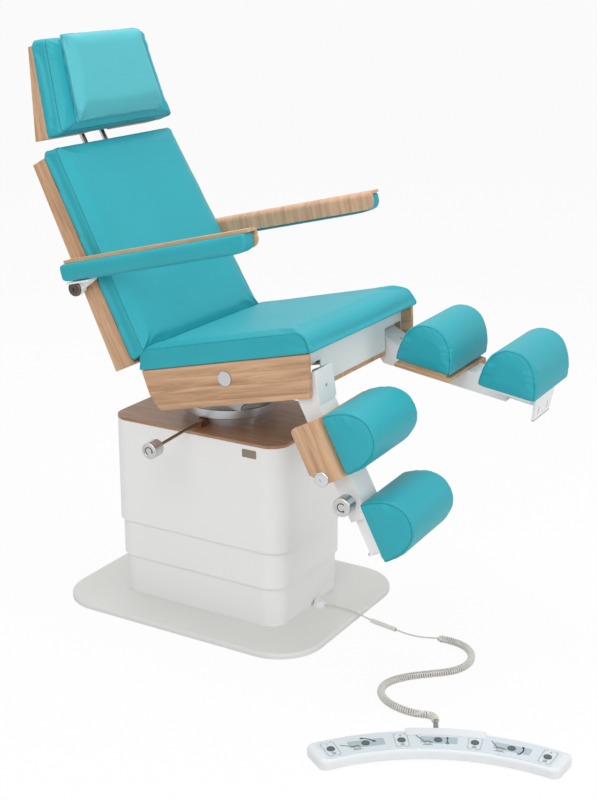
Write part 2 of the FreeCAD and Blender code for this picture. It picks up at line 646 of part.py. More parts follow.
def back_frame_shape():
    bar = size("back_bar")
    depth = size("back_bar_x")
    length = size("back_length")
    spread = size(HUB_SPREAD)
    width = size("hub_width")
    board = size("back_board")
    pieces = []
    for sign in (-1, 1):
        pieces.append(Part.makeBox(bar, width, length * SIDE_BAR_SHARE,
                                   Vector(-depth - bar, sign * spread - width / 2, board)))
        hinge = Vector(size("recline_x"), sign * spread - width / 2, -size("recline_drop"))
        radius = size("hub_radius") - size("run_gap")
        arm = Part.makePolygon([
            Vector(-depth - bar, 0, 2 * bar), Vector(-depth - bar, 0, board),
            Vector(hinge.x - radius, 0, hinge.z), Vector(hinge.x + radius / 2, 0, hinge.z - radius / 2),
            Vector(-depth + radius / 2, 0, board), Vector(-depth, 0, 2 * bar),
            Vector(-depth - bar, 0, 2 * bar)])
        arm = Part.Face(arm).extrude(Vector(0, width, 0)).translated(Vector(0, hinge.y, 0))
        hub = Part.makeCylinder(radius, width, hinge, Vector(0, 1, 0))
        pieces.append(arm.fuse(hub))
        sleeve_low = length * SLEEVE_SHARE
        rod_axis = Vector(-size("rod_depth"), sign * size("rod_spread"), sleeve_low)
        sleeve = Part.makeCylinder(size("rod_radius") * 2, length * SLEEVE_SHARE, rod_axis)
        bore = Part.makeCylinder(size("rod_radius") + size("fit_gap"), length, rod_axis)
        pieces.append(sleeve.cut(bore))
    for share in BEAM_SHARES:
        beam = Part.makeBox(bar / 2, 2 * spread, bar, Vector(-depth - bar, -spread, length * share))
        for sign in (-1, 1):
            beam = beam.cut(Part.makeCylinder(size("rod_radius") * 2, length,
                                              Vector(-size("rod_depth"), sign * size("rod_spread"), 0)))
        pieces.append(beam)
    arm_axis = PLACES["back"].inverse().multVec(Vector(size("arm_x"), 0, size("arm_z")))
    reach = size(ARM_INNER) - 2 * size("fit_gap")
    tube = Part.makeCylinder(size("arm_pivot_radius"), 2 * reach,
                             Vector(arm_axis.x, -reach, arm_axis.z), Vector(0, 1, 0))
    pieces.append(tube)
    return pieces[0].multiFuse(pieces[1:])


# Head rest: rods with a yoke, shell, cushion and pillow
def make_head():
    length = size("head_length")
    low, high = size("head_half_low"), size("head_half_high")
    board = size("head_board")
    shell = tapered_shell(length - board, size("head_depth_low"), size("head_depth_high"), low, high,
                          board, 0)
    slot = size("rod_spread") + 2 * size("rod_radius")
    depth = size("head_depth_low") + size("overrun") + board
    yoke_room = Part.makeBox(depth, 2 * slot, size("yoke_room"), Vector(board - depth, -slot, -board * 3 / 2))
    hinge = rod_top()
    pin = Part.makeCylinder(size("hinge_radius"), 2 * size("rod_spread") + 2 * size("yoke_width"),
                            Vector(hinge.x, -size("rod_spread") - size("yoke_width"), hinge.z),
                            Vector(0, 1, 0))
    tall = size("yoke_height")
    block = Part.makeBox(tall, 2 * size("rod_spread") - size("yoke_width"), tall + board,
                         Vector(hinge.x - tall / 2, size("yoke_width / 2 - rod_spread"), hinge.z - tall / 2))
    board_back = Part.makeBox(board, 2 * size("rod_spread") + 4 * size("yoke_width"), length / 2,
                              Vector(-board, -size("rod_spread") - 2 * size("yoke_width"), board * 3 / 2))
    link_low = hinge.z - tall / 2
    link_high = size("yoke_room") - board * 3 / 2 - size("fit_gap")
    link = Part.makeBox(-hinge.x, 2 * size("rod_spread") - size("yoke_width"), link_high - link_low,
                        Vector(hinge.x, size("yoke_width / 2 - rod_spread"), link_low))
    bar_top = board * 3 / 2 + size("yoke_height")
    bar_half = low - (low - high) * bar_top / (length - board) - board - size("fit_gap")
    cross = Part.makeBox(board, 2 * bar_half, size("yoke_height"), Vector(-board, -bar_half, board * 3 / 2))
    settle(shaped("head_shell", shell.cut(yoke_room)), "head_shell", "head")
    mount = block.multiFuse([board_back, link, cross, pin])
    settle(shaped("head_mount", mount), "head_mount", "head")
    upright_cushion("head_cushion", "head", length, low, high, size("head_soft_thick"),
                    "head_soft_crown", size("fit_gap"))
    make_pillow()
    make_rods(hinge)


def rod_top():
    tip = Vector(-size("rod_depth"), 0, size("back_length") + size("rod_rise"))
    return PLACES["head"].inverse().multVec(PLACES["back"].multVec(tip))


def make_rods(hinge):
    radius = size("rod_radius")
    top = size("back_length") + size("rod_rise")
    pieces = []
    for sign in (-1, 1):
        foot = Vector(-size("rod_depth"), sign * size("rod_spread"), top - size("rod_length"))
        rod = Part.makeCylinder(radius, size("rod_length"), foot)
        eye = Part.makeCylinder(size("hinge_radius") + radius / 2, size("yoke_width") / 2,
                                Vector(-size("rod_depth"), sign * size("rod_spread") - size("yoke_width") / 4,
                                       top), Vector(0, 1, 0))
        start = sign * size("rod_spread") - size("yoke_width") / 2
        bore = Part.makeCylinder(size("hinge_radius + fit_gap"), size("yoke_width"),
                                 Vector(-size("rod_depth"), start, top), Vector(0, 1, 0))
        pieces.append(rod.fuse(eye).cut(bore))
    settle(shaped("head_rods", Part.makeCompound(pieces)), "head_rods", "back")


PILLOW_STATION_SHARES = ((0, 0.97, 0.45), (0.04, 0.99, 0.8), (0.16, 1, 1), (0.85, 1, 1),
                         (0.96, 0.99, 0.82), (1, 0.97, 0.5))


def make_pillow():
    low, high = size("pillow_start"), size("pillow_end")
    fullest = max(thick for share, wide, thick in BACK_STATION_SHARES)
    lift = (size("head_soft_thick") + size("head_soft_crown")) * fullest + 2 * size("fit_gap")
    wires = []
    for share, wide, thick in PILLOW_STATION_SHARES:
        half = size("pillow_half_low") + (size("pillow_half_high") - size("pillow_half_low")) * share
        z = low + (high - low) * share
        wires.append(crowned_section(half * wide, size("pillow_thick") * thick,
                                     size("head_soft_crown") * thick,
                                     lambda y, x, z=z: Vector(x + lift, y, z)))
    soft_loft("head_pillow", "head", wires)


# Arm rests: timber angle over a rounded pad, carried by a bracket and a stub axle
def arm_pad_section(x, inset, low_inset):
    inner = size(ARM_INNER) + size("arm_shell_thick") + size("fit_gap")
    outer = size(ARM_OUTER) - inset
    low = size("arm_low") + low_inset
    high = size("arm_top") - size("arm_shell_thick") - size("fit_gap")
    lip = size("arm_shell_thick")
    curve = size("arm_nose")
    spots = [Vector(x, inner, high), Vector(x, inner, low), Vector(x, outer - curve, low),
             Vector(x, outer, low + curve), Vector(x, outer, high - lip / 2),
             Vector(x, outer - lip / 2, high)]
    spare = 1 - math.sqrt(0.5)
    bend = Vector(x, outer - curve * spare, low + curve * spare)
    soft = Vector(x, outer - lip / 2 * spare, high - lip / 2 * spare)
    edges = [Part.LineSegment(spots[0], spots[1]).toShape(), Part.LineSegment(spots[1], spots[2]).toShape(),
             Part.Arc(spots[2], bend, spots[3]).toShape(), Part.LineSegment(spots[3], spots[4]).toShape(),
             Part.Arc(spots[4], soft, spots[5]).toShape(), Part.LineSegment(spots[5], spots[0]).toShape()]
    return Part.Wire(edges)


ARM_END_SHARES = ((0, 0.8), (0.3, 0.28), (1, 0))


def mirrored(shape, sign):
    return shape if sign > 0 else shape.mirror(Vector(), Vector(0, 1, 0))


def make_arm(name, sign):
    rear, front = size("arm_rear"), size("arm_front")
    tip = size("arm_tip_round")
    wires = [arm_pad_section(rear + tip * share, tip * inset, tip * inset) for share, inset in ARM_END_SHARES]
    wires += [arm_pad_section(front - tip - tip * share, tip * inset, tip * inset)
              for share, inset in reversed(ARM_END_SHARES)]
    pad = Part.makeLoft(wires, True, True)
    settle(shaped(f"arm_pad_{name}", mirrored(pad, sign)), f"arm_pad_{name}", "arm")
    inner, thick = size(ARM_INNER), size("arm_shell_thick")
    bend = size("arm_shell_round")
    top, low = size("arm_top"), size("arm_low") + thick
    outer = inner + size("arm_shell_width")
    start = rear + tip
    half = math.sqrt(0.5)
    outline = [Part.LineSegment(Vector(start, inner, low), Vector(start, inner, top - bend)).toShape(),
               Part.Arc(Vector(start, inner, top - bend),
                        Vector(start, inner + bend * (1 - half), top - bend * (1 - half)),
                        Vector(start, inner + bend, top)).toShape(),
               Part.LineSegment(Vector(start, inner + bend, top), Vector(start, outer, top)).toShape(),
               Part.LineSegment(Vector(start, outer, top), Vector(start, outer, top - thick)).toShape(),
               Part.LineSegment(Vector(start, outer, top - thick),
                                Vector(start, inner + thick, top - thick)).toShape(),
               Part.LineSegment(Vector(start, inner + thick, top - thick),
                                Vector(start, inner + thick, low)).toShape(),
               Part.LineSegment(Vector(start, inner + thick, low), Vector(start, inner, low)).toShape()]
    shell = Part.Face(Part.Wire(outline)).extrude(Vector(front - start, 0, 0))
    settle(shaped(f"arm_shell_{name}", mirrored(shell, sign)), f"arm_shell_{name}", "arm")
    make_arm_bracket(name, sign)


def make_arm_bracket(name, sign):
    inner = size(ARM_INNER)
    plate = size("bracket_thick")
    length = size("bracket_length")
    low = size("bracket_low")
    radius = size("arm_cap_radius") * 2 / 3
    top = size("arm_low") - size("fit_gap")
    web = Part.makePolygon([Vector(-radius, 0, 0), Vector(0, 0, -radius), Vector(length, 0, top - plate),
                            Vector(length, 0, top), Vector(-radius, 0, top), Vector(-radius, 0, 0)])
    middle = inner + (size(ARM_OUTER) - inner) / 3
    web = Part.Face(web).extrude(Vector(0, low, 0)).translated(Vector(0, middle - low / 2, 0))
    flange = Part.makeBox(length + radius, (size(ARM_OUTER) - inner) * 2 / 3, plate,
                          Vector(-radius, inner + 2 * plate, top - plate))
    hub = Part.makeCylinder(radius, middle - inner - size("fit_gap"), Vector(0, inner, 0), Vector(0, 1, 0))
    cap = Part.makeCylinder(size("arm_cap_radius"), size("arm_cap_thick"), Vector(0, middle, 0),
                            Vector(0, 1, 0))
    shape = web.fuse(flange).fuse(hub).fuse(cap)
    settle(shaped(f"arm_bracket_{name}", mirrored(shape, sign)), f"arm_bracket_{name}", "arm")


# Leg rests, drawn with the outer side at +Y and mirrored for the near leg
def make_leg(name, sign):
    place = f"leg_{name}"
    half, top, height = size("leg_half"), size("leg_top"), size("leg_height")
    wall = size("leg_wall")
    start, end = size("leg_start"), size("leg_end")
    tube = Part.makeBox(end - start, 2 * half, height, Vector(start, -half, top - height))
    hollow = Part.makeBox(end - start + 2 * wall, 2 * (half - wall), height - 2 * wall,
                          Vector(start - wall, wall - half, top - height + wall))
    level = top - size("leg_knob_drop")
    knob_hole = Part.makeCylinder(size("leg_knob_neck_radius + fit_gap"), 2 * wall,
                                  Vector(size("leg_knob_s"), half - 3 * wall / 2, level), Vector(0, 1, 0))
    tube = tube.cut(hollow).cut(knob_hole)
    arm = tube.multiFuse(leg_root(half, top, height, wall, start))
    settle(shaped(f"leg_arm_{name}", mirrored(arm.removeSplitter(), sign)), f"leg_arm_{name}", place)
    make_leg_shell(name, sign, place)
    pad = calf_pad(size("pad_start"))
    settle(shaped(f"leg_pad_upper_{name}", mirrored(pad, sign)), f"leg_pad_upper_{name}", place)
    pad = calf_pad(size("low_pad_start"))
    settle(shaped(f"leg_pad_lower_{name}", mirrored(pad, sign)), f"leg_pad_lower_{name}", place)
    make_leg_slide(name, sign, place)
    knob = knob_shape(size("leg_knob_radius"), size("knob_length"), size("leg_knob_neck_radius"),
                      size("leg_knob_neck"))
    pose = Placement(Vector(size("leg_knob_s"), half - wall, top - size("leg_knob_drop")),
                     Rotation(Vector(1, 0, 0), -90))
    knob = knob.transformed(pose.toMatrix())
    settle(shaped(f"leg_knob_{name}", mirrored(knob, sign)), f"leg_knob_{name}", place)


# Root of a leg: cover plate over two cheeks that turn on the pin
def leg_root(half, top, height, wall, start):
    back, rise = size("root_back"), size("root_rise")
    cover = size("cover_thick")
    low = top - height
    pieces = []
    for offset in (-half, half - wall):
        cheek = Part.makePolygon([
            Vector(-back, 0, rise - cover), Vector(start, 0, top), Vector(start, 0, low),
            Vector(-back / 2, 0, low), Vector(-back, 0, low / 2), Vector(-back, 0, rise - cover)])
        cheek = Part.Face(cheek).extrude(Vector(0, wall, 0)).translated(Vector(0, offset, 0))
        pieces.append(cheek)
    slope = Part.makePolygon([Vector(-back, 0, rise - cover), Vector(start + cover, 0, top),
                              Vector(start + cover, 0, top + cover), Vector(-back, 0, rise),
                              Vector(-back, 0, rise - cover)])
    wide = size("cover_half")
    pieces.append(Part.Face(slope).extrude(Vector(0, 2 * wide, 0)).translated(Vector(0, -wide, 0)))
    pieces.append(Part.makeCylinder(size("pin_radius"), 2 * half, Vector(0, -half, 0), Vector(0, 1, 0)))
    return pieces


def make_leg_shell(name, sign, place):
    first, last = size("shell_start"), size("shell_end")
    thick, inner, outer = size("shell_thick"), size(SHELL_INNER), size("shell_outer")
    bend, drop = size("shell_bend"), size("shell_drop")
    base = size("leg_top") + size("fit_gap") / 3
    high = base + thick
    half = math.sqrt(0.5)
    slim = bend - thick

    def spot(y, z):
        return Vector(first, y, z)

    edges = [Part.LineSegment(spot(-inner, base), spot(-inner, high)).toShape(),
             Part.LineSegment(spot(-inner, high), spot(outer - bend, high)).toShape(),
             Part.Arc(spot(outer - bend, high), spot(outer - bend + bend * half, high - bend + bend * half),
                      spot(outer, high - bend)).toShape(),
             Part.LineSegment(spot(outer, high - bend), spot(outer, high - drop)).toShape(),
             Part.LineSegment(spot(outer, high - drop), spot(outer - thick, high - drop)).toShape(),
             Part.LineSegment(spot(outer - thick, high - drop), spot(outer - thick, high - bend)).toShape(),
             Part.Arc(spot(outer - thick, high - bend),
                      spot(outer - bend + slim * half, high - bend + slim * half),
                      spot(outer - bend, base)).toShape(),
             Part.LineSegment(spot(outer - bend, base), spot(-inner, base)).toShape()]
    shell = Part.Face(Part.Wire(edges)).extrude(Vector(last - first, 0, 0))
    cut_size = size("shell_cut")
    corner = Part.makePolygon([Vector(last + thick, 0, high - drop + cut_size + thick),
                               Vector(last - cut_size - thick, 0, high - drop - thick),
                               Vector(last + thick, 0, high - drop - thick),
                               Vector(last + thick, 0, high - drop + cut_size + thick)])
    wedge = Part.Face(corner).extrude(Vector(0, 2 * thick, 0)).translated(Vector(0, outer - 3 * thick / 2, 0))
    shell = shell.cut(wedge)
    inset = size("pad_seat_inset")
    board = Part.makeBox(size("pad_length") - 2 * inset, inner + outer - bend - 2 * inset, size("pad_seat"),
                         Vector(size("pad_start") + inset, inset - inner, high))
    shape = shell.fuse(board)
    settle(shaped(f"leg_shell_{name}", mirrored(shape, sign)), f"leg_shell_{name}", place)


# Half-round calf pad: an arch with slightly domed ends
ARCH_SHOULDER_SHARES = (0.83, 0.62)
ARCH_FLANK_SHARE = 0.3
PAD_END_SHARES = ((0, 0.965), (0.02, 0.99), (0.06, 1), (0.94, 1), (0.98, 0.99), (1, 0.965))


def calf_pad(start):
    length, height = size("pad_length"), size("pad_height")
    base = size("pad_rise") + size("fit_gap")
    inner = -size(PAD_INNER)
    width = size(PAD_INNER) + size("pad_outer")
    middle = start + length / 2
    wires = []
    for share, scale in PAD_END_SHARES:
        y = inner + width * share
        reach = length / 2 * scale
        tall = height * scale
        shoulder = reach * ARCH_SHOULDER_SHARES[0]
        level = base + tall * ARCH_SHOULDER_SHARES[1]
        flank = base + tall * ARCH_FLANK_SHARE
        corners = [Vector(middle - reach, y, base), Vector(middle + reach, y, base),
                   Vector(middle + shoulder, y, level), Vector(middle - shoulder, y, level)]
        edges = [Part.LineSegment(corners[0], corners[1]).toShape(),
                 Part.Arc(corners[1], Vector(middle + reach, y, flank), corners[2]).toShape(),
                 Part.Arc(corners[2], Vector(middle, y, base + tall), corners[3]).toShape(),
                 Part.Arc(corners[3], Vector(middle - reach, y, flank), corners[0]).toShape()]
        wires.append(Part.Wire(edges))
    return Part.makeLoft(wires, True, True)


def make_leg_slide(name, sign, place):
    half, height = size("bar_half"), size("bar_height")
    first, last = size("bar_start"), size("bar_end")
    tube_middle = size("leg_top") - size("leg_height") / 2
    plate = size("end_plate_thick")
    middle = -size("pad_centre")
    bar = Part.makeBox(last - first, 2 * half, height, Vector(first, -half, tube_middle - height / 2))
    glide_half = size("leg_half - leg_wall - fit_gap")
    glide_height = size("leg_height - 2 * leg_wall - 2 * fit_gap")
    glide = Part.makeBox(size("glide_length"), 2 * glide_half, glide_height,
                         Vector(first, -glide_half, tube_middle - glide_height / 2))
    tray_top = size("pad_rise")
    tray = size("tray_thick")
    high = tray_top - tray
    low = size("leg_top") - size("end_plate_low") - size("slot_height")
    wide, narrow = size("end_plate_half_high"), size("end_plate_half_low")
    outline = Part.makePolygon([Vector(last, middle - wide, high), Vector(last, middle + wide, high),
                                Vector(last, middle + narrow, low), Vector(last, middle - narrow, low),
                                Vector(last, middle - wide, high)])
    end = Part.Face(outline).extrude(Vector(plate, 0, 0))
    for shift in (-size("slot_spread"), size("slot_spread")):
        slot = Part.makeBox(2 * plate, 2 * size("slot_half"), size("slot_height"),
                            Vector(last - plate / 2, middle + shift - size("slot_half"), low + 2 * plate))
        end = end.cut(slot)
    inset = size("pad_seat_inset")
    tray_start = size("low_pad_start") + inset
    wide_tray = size(PAD_INNER) + size("pad_outer") - 2 * inset
    tray_box = Part.makeBox(last + plate - tray_start, wide_tray, tray,
                            Vector(tray_start, inset - size(PAD_INNER), high))
    shape = bar.multiFuse([glide, end, tray_box])
    settle(shaped(f"leg_slide_{name}", mirrored(shape, sign)), f"leg_slide_{name}", place)


def make_brake():
    clevis_place = brake_place()
    angle = Rotation(size("brake_angle"), 0, 0)
    length, width = size("clevis_length"), size("clevis_width")
    height = size("clevis_height") + 2 * size("brake_rod_radius") + size("run_gap")
    reach = size("flange_radius") + size("fit_gap")
    base = Part.makeBox(length, width, height, Vector(reach, -width / 2, size("column_top")))
    base = base.transformed(Placement(Vector(), angle).toMatrix())
    bore = Part.makeCylinder(size("brake_rod_radius") + size("fit_gap"), 3 * length)
    bore = bore.translated(Vector(0, 0, -length)).transformed(clevis_place.toMatrix())
    settle(shaped("brake_clevis", base.cut(bore)), "brake_clevis")
    rod_start = size("flange_radius + run_gap - brake_reach")
    rod_end = size("brake_rod_length + clevis_width / 2")
    rod = Part.makeCylinder(size("brake_rod_radius"), rod_end - rod_start, Vector(0, 0, rod_start))
    knob = knob_shape(size("knob_radius"), size("knob_length"), size("knob_neck_radius"), size("knob_neck"))
    knob = knob.translated(Vector(0, 0, rod_end))
    handle = rod.fuse(knob)
    settle(shaped("brake_handle", handle.transformed(clevis_place.toMatrix())), "brake_handle")


def make_seat_hardware():
    pieces = [cylinder("seat_axle_rod", "axle_radius", "2 * seat_half_width",
                       ("axle_x", "0 - seat_half_width", "0 - axle_drop"), "y")]
    for start in ("seat_half_width", "0 - seat_half_width - cap_thick"):
        pieces.append(cylinder("seat_cap", "cap_radius", "cap_thick",
                               ("axle_x", start, "0 - axle_drop"), "y"))
    settle(fuse("seat_axle_body", pieces), "seat_axle", "seat")
    drive = cylinder("back_drive", "drive_radius", "drive_length",
                     ("drive_x", "0 - drive_length / 2", "0 - drive_drop"), "y")
    settle(drive, "back_drive", "seat")


# Foot control: a curved housing with seven keys, placed by the point where its lead comes in
def foot_centre():
    angle = math.radians(size("relief_angle"))
    outer = size(FOOT_OUTER)
    return Vector(size(f"relief_x + {ROUTE_SHIFT}") - outer * math.cos(angle),
                  size("relief_y") - outer * math.sin(angle), 0)


def foot_point(radius, degrees, z):
    angle = math.radians(degrees)
    return foot_centre() + Vector(radius * math.cos(angle), radius * math.sin(angle), z)


def arc_slab(inner, outer, start, end, low, high):
    def spot(radius, degrees):
        return foot_point(radius, degrees, low)

    halfway = (start + end) / 2
    edges = [Part.Arc(spot(inner, start), spot(inner, halfway), spot(inner, end)).toShape(),
             Part.LineSegment(spot(inner, end), spot(outer, end)).toShape(),
             Part.Arc(spot(outer, end), spot(outer, halfway), spot(outer, start)).toShape(),
             Part.LineSegment(spot(outer, start), spot(inner, start)).toShape()]
    return Part.Face(Part.Wire(edges)).extrude(Vector(0, 0, high - low))


def make_foot_control():
    inner, outer = size("foot_inner"), size(FOOT_OUTER)
    start, end = size("foot_start"), size("foot_end")
    sole, thick = size("foot_sole"), size("foot_thick")
    rounding = size("foot_round")
    body = arc_slab(inner, outer, start, end, sole, thick)
    corners = [edge for edge in body.Edges if abs(edge.Vertexes[0].Z - edge.Vertexes[-1].Z) > sole]
    body = body.makeFillet(2 * rounding, corners)
    rim = [edge for edge in body.Edges if all(abs(vertex.Z - thick) < 1e-4 for vertex in edge.Vertexes)]
    body = body.makeFillet(rounding, rim)
    tab = arc_slab(outer - 3 * rounding, outer + size("tab_reach"), size("tab_start"), size("tab_end"),
                   sole, thick + size("tab_rise"))
    tab_edges = [edge for edge in tab.Edges if abs(edge.Vertexes[0].Z - edge.Vertexes[-1].Z) > sole]
    body = body.fuse(tab.makeFillet(size("tab_reach"), tab_edges))
    deep = size("button_height")
    count = int(size("button_count"))
    for index in range(count):
        place = button_place(index)
        room = Part.makeCylinder(size("button_radius") + size("button_slack"), 2 * deep,
                                 place - Vector(0, 0, size("button_travel") + size("button_floor")))
        body = body.cut(room)
    settle(shaped("foot_housing", body), "foot_housing")
    inset = rounding
    turn = size("sole_turn")
    sole_shape = arc_slab(inner + inset, outer - inset, start + turn, end - turn, 0, sole)
    settle(shaped("foot_sole", sole_shape), "foot_sole")
    for index in range(count):
        key = Part.makeCylinder(size("button_radius"), deep, button_place(index))
        upper = button_place(index).z + deep / 2
        rims = [edge for edge in key.Edges if edge.Closed and edge.Vertexes[0].Z > upper]
        key = key.makeFillet(size("button_proud") / 2, rims)
        settle(shaped(f"foot_button_{index + 1}", key), f"foot_button_{index + 1}")


def button_place(index):
    degrees = size("foot_first_button") + index * size("foot_button_step")
    level = size("foot_thick + button_proud - button_height")
    return foot_point(size("foot_inner + button_offset"), degrees, level)


# Lead from the base plate to the foot control
LEAD_START = ((303, 15, 24.0), (330, 16, 24.6), (362, 18, 22.8), (392, 20, 20.5), (418, 20, 12.5))
SLEEVE_ROUTE = ((445, 16, 8.4), (486, 10, 7.0), (530, 4, 6.2))
LEAD_END = ((562, 1.5, 3.4), (604, 4.4, 3.8), (645, 10, 8.5))
LEAD_ROUTE = LEAD_START + SLEEVE_ROUTE + LEAD_END
COIL_ROUTE = ((645, 10), (690, 16.1), (735, 4), (768, -32), (779, -82), (762, -134), (712, -180),
              (668, -222), (639, -272), (646, -325), (685, -360), (735, -374), (779, -372), (815, -356))
CORNER_SHARE = 0.45
SLEEVE_REACH_SHARE = 0.94


# Straight runs joined by arcs
def tangent_path(points):
    edges = []
    before = points[0]
    for index in range(1, len(points) - 1):
        back = points[index - 1] - points[index]
        ahead = points[index + 1] - points[index]
        turn = math.pi - back.getAngle(ahead)
        reach = CORNER_SHARE * min(back.Length, ahead.Length)
        radius = reach / math.tan(turn / 2)
        enter = points[index] + back.normalize() * reach
        leave = points[index] + ahead.normalize() * reach
        bisector = (back + ahead).normalize()
        middle = points[index] + bisector * (radius / math.cos(turn / 2) - radius)
        edges.append(Part.LineSegment(before, enter).toShape())
        edges.append(Part.Arc(enter, middle, leave).toShape())
        before = leave
    edges.append(Part.LineSegment(before, points[-1]).toShape())
    return Part.Wire(edges)


def tube_along(points, radius):
    path = tangent_path(points)
    first = path.Edges[0]
    direction = first.tangentAt(first.FirstParameter)
    ring = Part.Wire([Part.Circle(points[0], direction, radius).toShape()])
    return path.makePipeShell([ring], True, False)


def routed(points):
    shift = size(ROUTE_SHIFT)
    return [Vector(x + shift, y, z) for x, y, z in points]


def make_lead():
    wire = size("wire_radius")
    points = routed(LEAD_ROUTE)
    middle = Vector(size("casing_length / 2 + gland_reach"), points[0].y, size("plate_thick"))
    gland = Part.makeCone(size("gland_radius"), size("gland_radius") * 2 / 3, size("gland_height"), middle)
    inside = Vector(middle.x, middle.y, points[0].z)
    nose = Part.makeCylinder(2 * wire, points[0].x - middle.x, inside, Vector(1, 0, 0))
    settle(shaped("lead_gland", gland.fuse(nose)), "lead_gland")
    settle(shaped("lead_straight", tube_along(points, wire)), "lead_straight")
    make_sleeve(wire)
    coil = size("coil_radius")
    inlet = foot_point(size(FOOT_OUTER) + size("relief_length"), size("relief_angle"), coil)
    coil_points = routed([(x, y, coil) for x, y in COIL_ROUTE]) + [inlet]
    settle(shaped("lead_coil", tube_along(coil_points, coil)), "lead_coil")
    make_relief(inlet)


def make_sleeve(wire):
    ends = routed(SLEEVE_ROUTE)
    along = (ends[-1] - ends[0]) * SLEEVE_REACH_SHARE
    sleeve = Part.makeCylinder(size("sleeve_radius"), along.Length, ends[0], along)
    bore = Part.makeCylinder(wire + size("sleeve_gap"), 3 * along.Length, ends[0] - along, along)
    settle(shaped("lead_sleeve", sleeve.cut(bore)), "lead_sleeve")


# Tapered strain relief, cut to the wall of the foot control
def make_relief(inlet):
    reach = size("tab_reach")
    towards = foot_centre() + Vector(0, 0, inlet.z) - inlet
    relief = Part.makeCone(size("relief_low"), size("relief_high"), size("relief_length") + reach,
                           inlet, towards)
    wall = arc_slab(size("foot_inner"), size(FOOT_OUTER) + reach, size("foot_start"), size("foot_end"),
                    0, size("foot_thick") * 2)
    settle(shaped("lead_relief", relief.cut(wall)), "lead_relief")


def finish_shapes():
    doc.recompute()
    failed = [item.Name for item in doc.Objects if set(item.State) & {"Invalid", "Error"}]
    if failed:
        raise ValueError(f"failed objects: {failed}")
    total = 0
    for item in nodes:
        shape = item.Shape
        if shape.isNull() or not shape.isValid():
            raise ValueError(f"bad shape: {item.Label}")
        shape.exportStep(f"parts/{item.Label}.step")
        total += 1
    print("nodes", total)


make_base_plate()
make_column()
make_lift_drive()
make_swivel()
make_support()
make_seat_shell()
make_front_panel()
make_seat_frame()
make_seat_cushion()
make_back()
make_head()
make_seat_hardware()
make_brake()
for arm_name, arm_side in (("near", -1), ("far", 1)):
    make_arm(arm_name, arm_side)
    make_leg(arm_name, arm_side)
make_foot_control()
make_lead()
finish_shapes()
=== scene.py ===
import math

import bmesh
import bpy
from mathutils import Euler, Matrix, Vector, noise


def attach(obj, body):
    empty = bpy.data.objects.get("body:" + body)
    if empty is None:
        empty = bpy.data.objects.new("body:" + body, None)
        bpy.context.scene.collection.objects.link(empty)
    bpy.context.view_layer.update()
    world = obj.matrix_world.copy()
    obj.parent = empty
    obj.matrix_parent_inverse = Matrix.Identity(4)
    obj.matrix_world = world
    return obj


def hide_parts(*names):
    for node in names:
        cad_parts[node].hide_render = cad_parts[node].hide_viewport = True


# Podiatry chair: finishes, upholstery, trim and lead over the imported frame.
# Metres, origin on the floor under the swivel axis, front +X, up +Z.
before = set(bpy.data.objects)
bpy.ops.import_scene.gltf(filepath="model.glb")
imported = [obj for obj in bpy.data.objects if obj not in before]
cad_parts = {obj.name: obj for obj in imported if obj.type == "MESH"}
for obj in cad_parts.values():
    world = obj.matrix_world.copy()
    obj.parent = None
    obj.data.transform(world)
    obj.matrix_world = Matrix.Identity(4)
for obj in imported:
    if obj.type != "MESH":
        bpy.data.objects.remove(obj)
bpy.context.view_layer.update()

VOXEL = 0.006
FINE_VOXEL = 0.0045
CLOTH_FRAMES = 20
UP = Vector((0.0, 0.0, 1.0))
OUTWARD = Vector((0.0, 1.0, 0.0))
WORLD = Matrix.Identity(4)
TINY = 1e-9
SHARP_ANGLE = math.radians(35.0)
WHITE = (1.0, 1.0, 1.0, 1.0)


# Places of the tilted groups: origin, pitch and yaw, as in the construction
def tilted(origin, pitch, yaw=0.0):
    turn = Euler((0.0, math.radians(pitch), math.radians(yaw)), "XYZ").to_matrix().to_4x4()
    return Matrix.Translation(origin) @ turn


MIRROR = Matrix.Scale(-1.0, 4, (0.0, 1.0, 0.0))
SEAT = tilted((-0.085, 0.0, 0.717), -13.4)
BACK = tilted((-0.113, 0.0, 0.740), -29.5)
HEAD = tilted((-0.392, 0.0, 1.291), -16.0)
ARM = tilted((-0.262, 0.0, 0.922), -14.0)
LEGS = {"near": tilted((0.411, -0.223, 0.732), 63.0, 2.3) @ MIRROR,
        "far": tilted((0.411, 0.223, 0.732), 8.7, 1.7)}
ARMS = {"near": ARM @ MIRROR, "far": ARM}
SIDES = ("near", "far")


# Colours are written as the eye reads them and turned into linear light
def tint(red, green, blue):
    def linear(part):
        share = part / 255.0
        return share / 12.92 if share <= 0.04045 else ((share + 0.055) / 1.055) ** 2.4
    return (linear(red), linear(green), linear(blue), 1.0)


# A socket of a material with the operators that its patterns use
class Socket:
    def __init__(self, finish, source):
        self.finish = finish
        self.source = source

    def math(self, operation, first, second=0.0, clamp=False):
        return self.finish.make("Math", {"operation": operation, "use_clamp": clamp}, {0: first, 1: second})

    def __add__(self, other):
        return self.math("ADD", self, other)

    def __radd__(self, other):
        return self.math("ADD", other, self)

    def __sub__(self, other):
        return self.math("SUBTRACT", self, other)

    def __rsub__(self, other):
        return self.math("SUBTRACT", other, self)

    def __mul__(self, other):
        return self.math("MULTIPLY", self, other)

    def __rmul__(self, other):
        return self.math("MULTIPLY", other, self)

    def __pow__(self, other):
        return self.math("POWER", self, other)

    def __abs__(self):
        return self.math("ABSOLUTE", self)

    def largest(self, other):
        return self.math("MAXIMUM", self, other)

    def above(self, edge, width):
        return self.math("MULTIPLY", self - edge, 1.0 / width, clamp=True)


